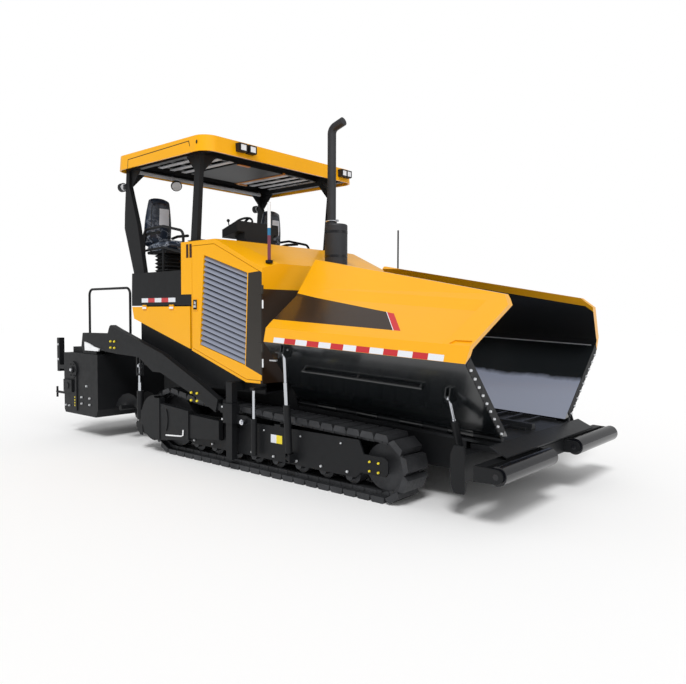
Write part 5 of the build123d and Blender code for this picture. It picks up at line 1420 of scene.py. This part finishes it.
for label, side in BOTH:
    face = upright(side, 1.38)
    heads = (
        (face, 2, (-3.20, 0.735), (0.50, 0.0), HEAD),
        (face, 2, (-2.84, 0.568), (0.22, 0.0), HEAD),
        (face, 2, (-2.84, 0.477), (0.22, 0.0), HEAD),
        (face, 2, (-3.30, 0.42), (0.10, 0.0), SMALL_HEAD),
    )
    rows(f"{label}_screed_bolts", "hexagon", zinc, "screed", "chrome_rod", *heads)
    caps = (face, 4, (-3.03, 0.434), (0.0, 0.04), (0.024, 0.024, 0.014))
    rows(f"{label}_screed_caps", "round", yellow_cap, "screed", "body_yellow", caps)
    fittings = [
        (panel, face, oblong(-3.02, 0.36, -2.985, 0.90), 0.016),
        (panel, face, oblong(-3.34, 0.62, -3.10, 0.80), 0.03),
    ]
    for angle in range(0, 360, 60):
        a = math.radians(angle)
        place = (COVER[0] + COVER_BOLTS * math.cos(a), side * 1.405, COVER[1] + COVER_BOLTS * math.sin(a))
        fittings.append((disc, place, ACROSS, 0.009, 0.01, 6))
    fittings.append((disc, (-3.22, side * 1.405, 0.71), ACROSS, 0.045, 0.03, 20))
    made(f"{label}_screed_fittings", finishes["frame_black"], "screed", "frame_black", *fittings)
    bright = [(disc, (COVER[0], side * 1.425, COVER[1]), ACROSS, 0.022, 0.02, 6)]
    bright += [(disc, (-3.565, side * 1.37, z), ACROSS, 0.018, 0.012, 16) for z in (1.08, 1.30)]
    made(f"{label}_screed_bright", zinc, "screed", "chrome_rod", *bright)
    clamp = (panel, upright(side, 1.350), CLAMP, 0.02)
    made(f"{label}_walkway_clamp", white_paint, "screed", "chrome_rod", clamp)
print("screed dressed")

# %% [markdown]
# ## The rubber lip of the hopper
# The front edge of each wing has a rubber lip clamped behind the steel, with a wavy edge where
# it meets the truck. It keeps mix from spilling, and it is wiped shiny.

# %% Lips
LIP_TEETH = 22
LIP_START = 0.03
LIP_INNER = 0.088
LIP_LOW = -0.004
LIP_HIGH = 0.006
wall_length = between((HINGE_Y, 0.0), FOLD)[0]
lip = [(LIP_START, LIP_INNER)]
tooth_step = (wall_length - 0.05) / LIP_TEETH
for tooth in range(LIP_TEETH):
    start = LIP_START + tooth_step * tooth
    for share, edge in ((0.0, LIP_LOW), (0.55, LIP_LOW), (0.7, LIP_HIGH), (1.0, LIP_HIGH)):
        lip.append((start + tooth_step * share, edge))
lip.append((wall_length - 0.02, LIP_INNER))

for label, side in BOTH:
    rubber = (panel, wing_front(side), lip, 0.004, 0.001)
    made(f"{label}_wing_lip", black_rubber, f"{label}_wing", "frame_black", rubber)
    seam = [deck(x, side * 1.387, 0.772) for x in (0.16, 2.44)]
    made(f"{label}_wing_seam", rib_grey, f"{label}_wing", "frame_black", (tube, seam, 0.006, 8))
print("lips made")

# %% [markdown]
# ## Stage, light and camera
# The studio is a pale floor that runs into a white backdrop. Soft light comes from a wide sun
# high behind the camera and from the world all round, so that colours render as written.

# %% Studio
PHOTO_WIDTH = 686
FOCAL_PIXELS = 659.76
CAMERA_PLACE = Vector((6.076, -6.088, 1.756))
CAMERA_TURN = math.radians(40.552)
CAMERA_DIP = math.radians(2.373)
CAMERA_ROLL = math.radians(0.182)
FLOOR_TONE = (0.93, 0.93, 0.93)
WORLD_LIGHT = 0.52


def placed(name, data):
    """An object with its data, in the scene."""
    thing = bpy.data.objects.new(name, data)
    bpy.context.scene.collection.objects.link(thing)
    return thing


def make_camera():
    sin, cos = math.sin(CAMERA_TURN), math.cos(CAMERA_TURN)
    level = math.cos(CAMERA_DIP)
    view = Vector((-sin * level, cos * level, -math.sin(CAMERA_DIP)))
    right = Vector((cos, sin, 0.0))
    up = right.cross(view)
    across = right * math.cos(CAMERA_ROLL) + up * math.sin(CAMERA_ROLL)
    above = up * math.cos(CAMERA_ROLL) - right * math.sin(CAMERA_ROLL)
    data = bpy.data.cameras.new("camera")
    data.sensor_width = 36.0
    data.lens = FOCAL_PIXELS / PHOTO_WIDTH * data.sensor_width
    data.clip_end = 500.0
    camera = placed("camera", data)
    turn = Matrix((across, above, -view)).transposed().to_4x4()
    camera.matrix_world = Matrix.Translation(CAMERA_PLACE) @ turn
    bpy.context.scene.camera = camera


def make_floor():
    bm = bmesh.new()
    bmesh.ops.create_grid(bm, x_segments=1, y_segments=1, size=60.0)
    mesh = bpy.data.meshes.new("floor")
    bm.to_mesh(mesh)
    bm.free()
    floor = placed("floor", mesh)
    finish = Finish("floor", base_color=FLOOR_TONE, roughness=0.9, specular_ior_level=0.0)
    mesh.materials.append(finish.material)


def make_world():
    """White to the camera and through glass, and dimmer as light, so that shadows stay."""
    world = bpy.data.worlds.new("studio")
    bpy.context.scene.world = world
    world.use_nodes = True
    tree = world.node_tree
    tree.nodes.clear()
    path = built(tree, "ShaderNodeLightPath").outputs
    seen = built(tree, "ShaderNodeMath", {"operation": "MAXIMUM"})
    tree.links.new(path["Is Camera Ray"], seen.inputs[0])
    tree.links.new(path["Is Transmission Ray"], seen.inputs[1])
    strength = built(tree, "ShaderNodeMapRange", value=seen.outputs[0])
    strength.inputs["To Min"].default_value = WORLD_LIGHT
    strength.inputs["To Max"].default_value = 1.0
    white = (1.0, 1.0, 1.0, 1.0)
    back = built(tree, "ShaderNodeBackground", color=white, strength=strength.outputs["Result"])
    end = tree.nodes.new("ShaderNodeOutputWorld")
    tree.links.new(back.outputs[0], end.inputs[0])


def make_sun(name, strength, angle, turn):
    data = bpy.data.lights.new(name, "SUN")
    data.energy = strength
    data.angle = math.radians(angle)
    placed(name, data).rotation_euler = Euler([math.radians(v) for v in turn])


make_camera()
make_floor()
make_world()
make_sun("key", 1.95, 18.0, (38.0, 8.0, 20.0))
make_sun("fill", 0.5, 60.0, (60.0, 0.0, 80.0))
bpy.context.scene.view_settings.view_transform = "Standard"
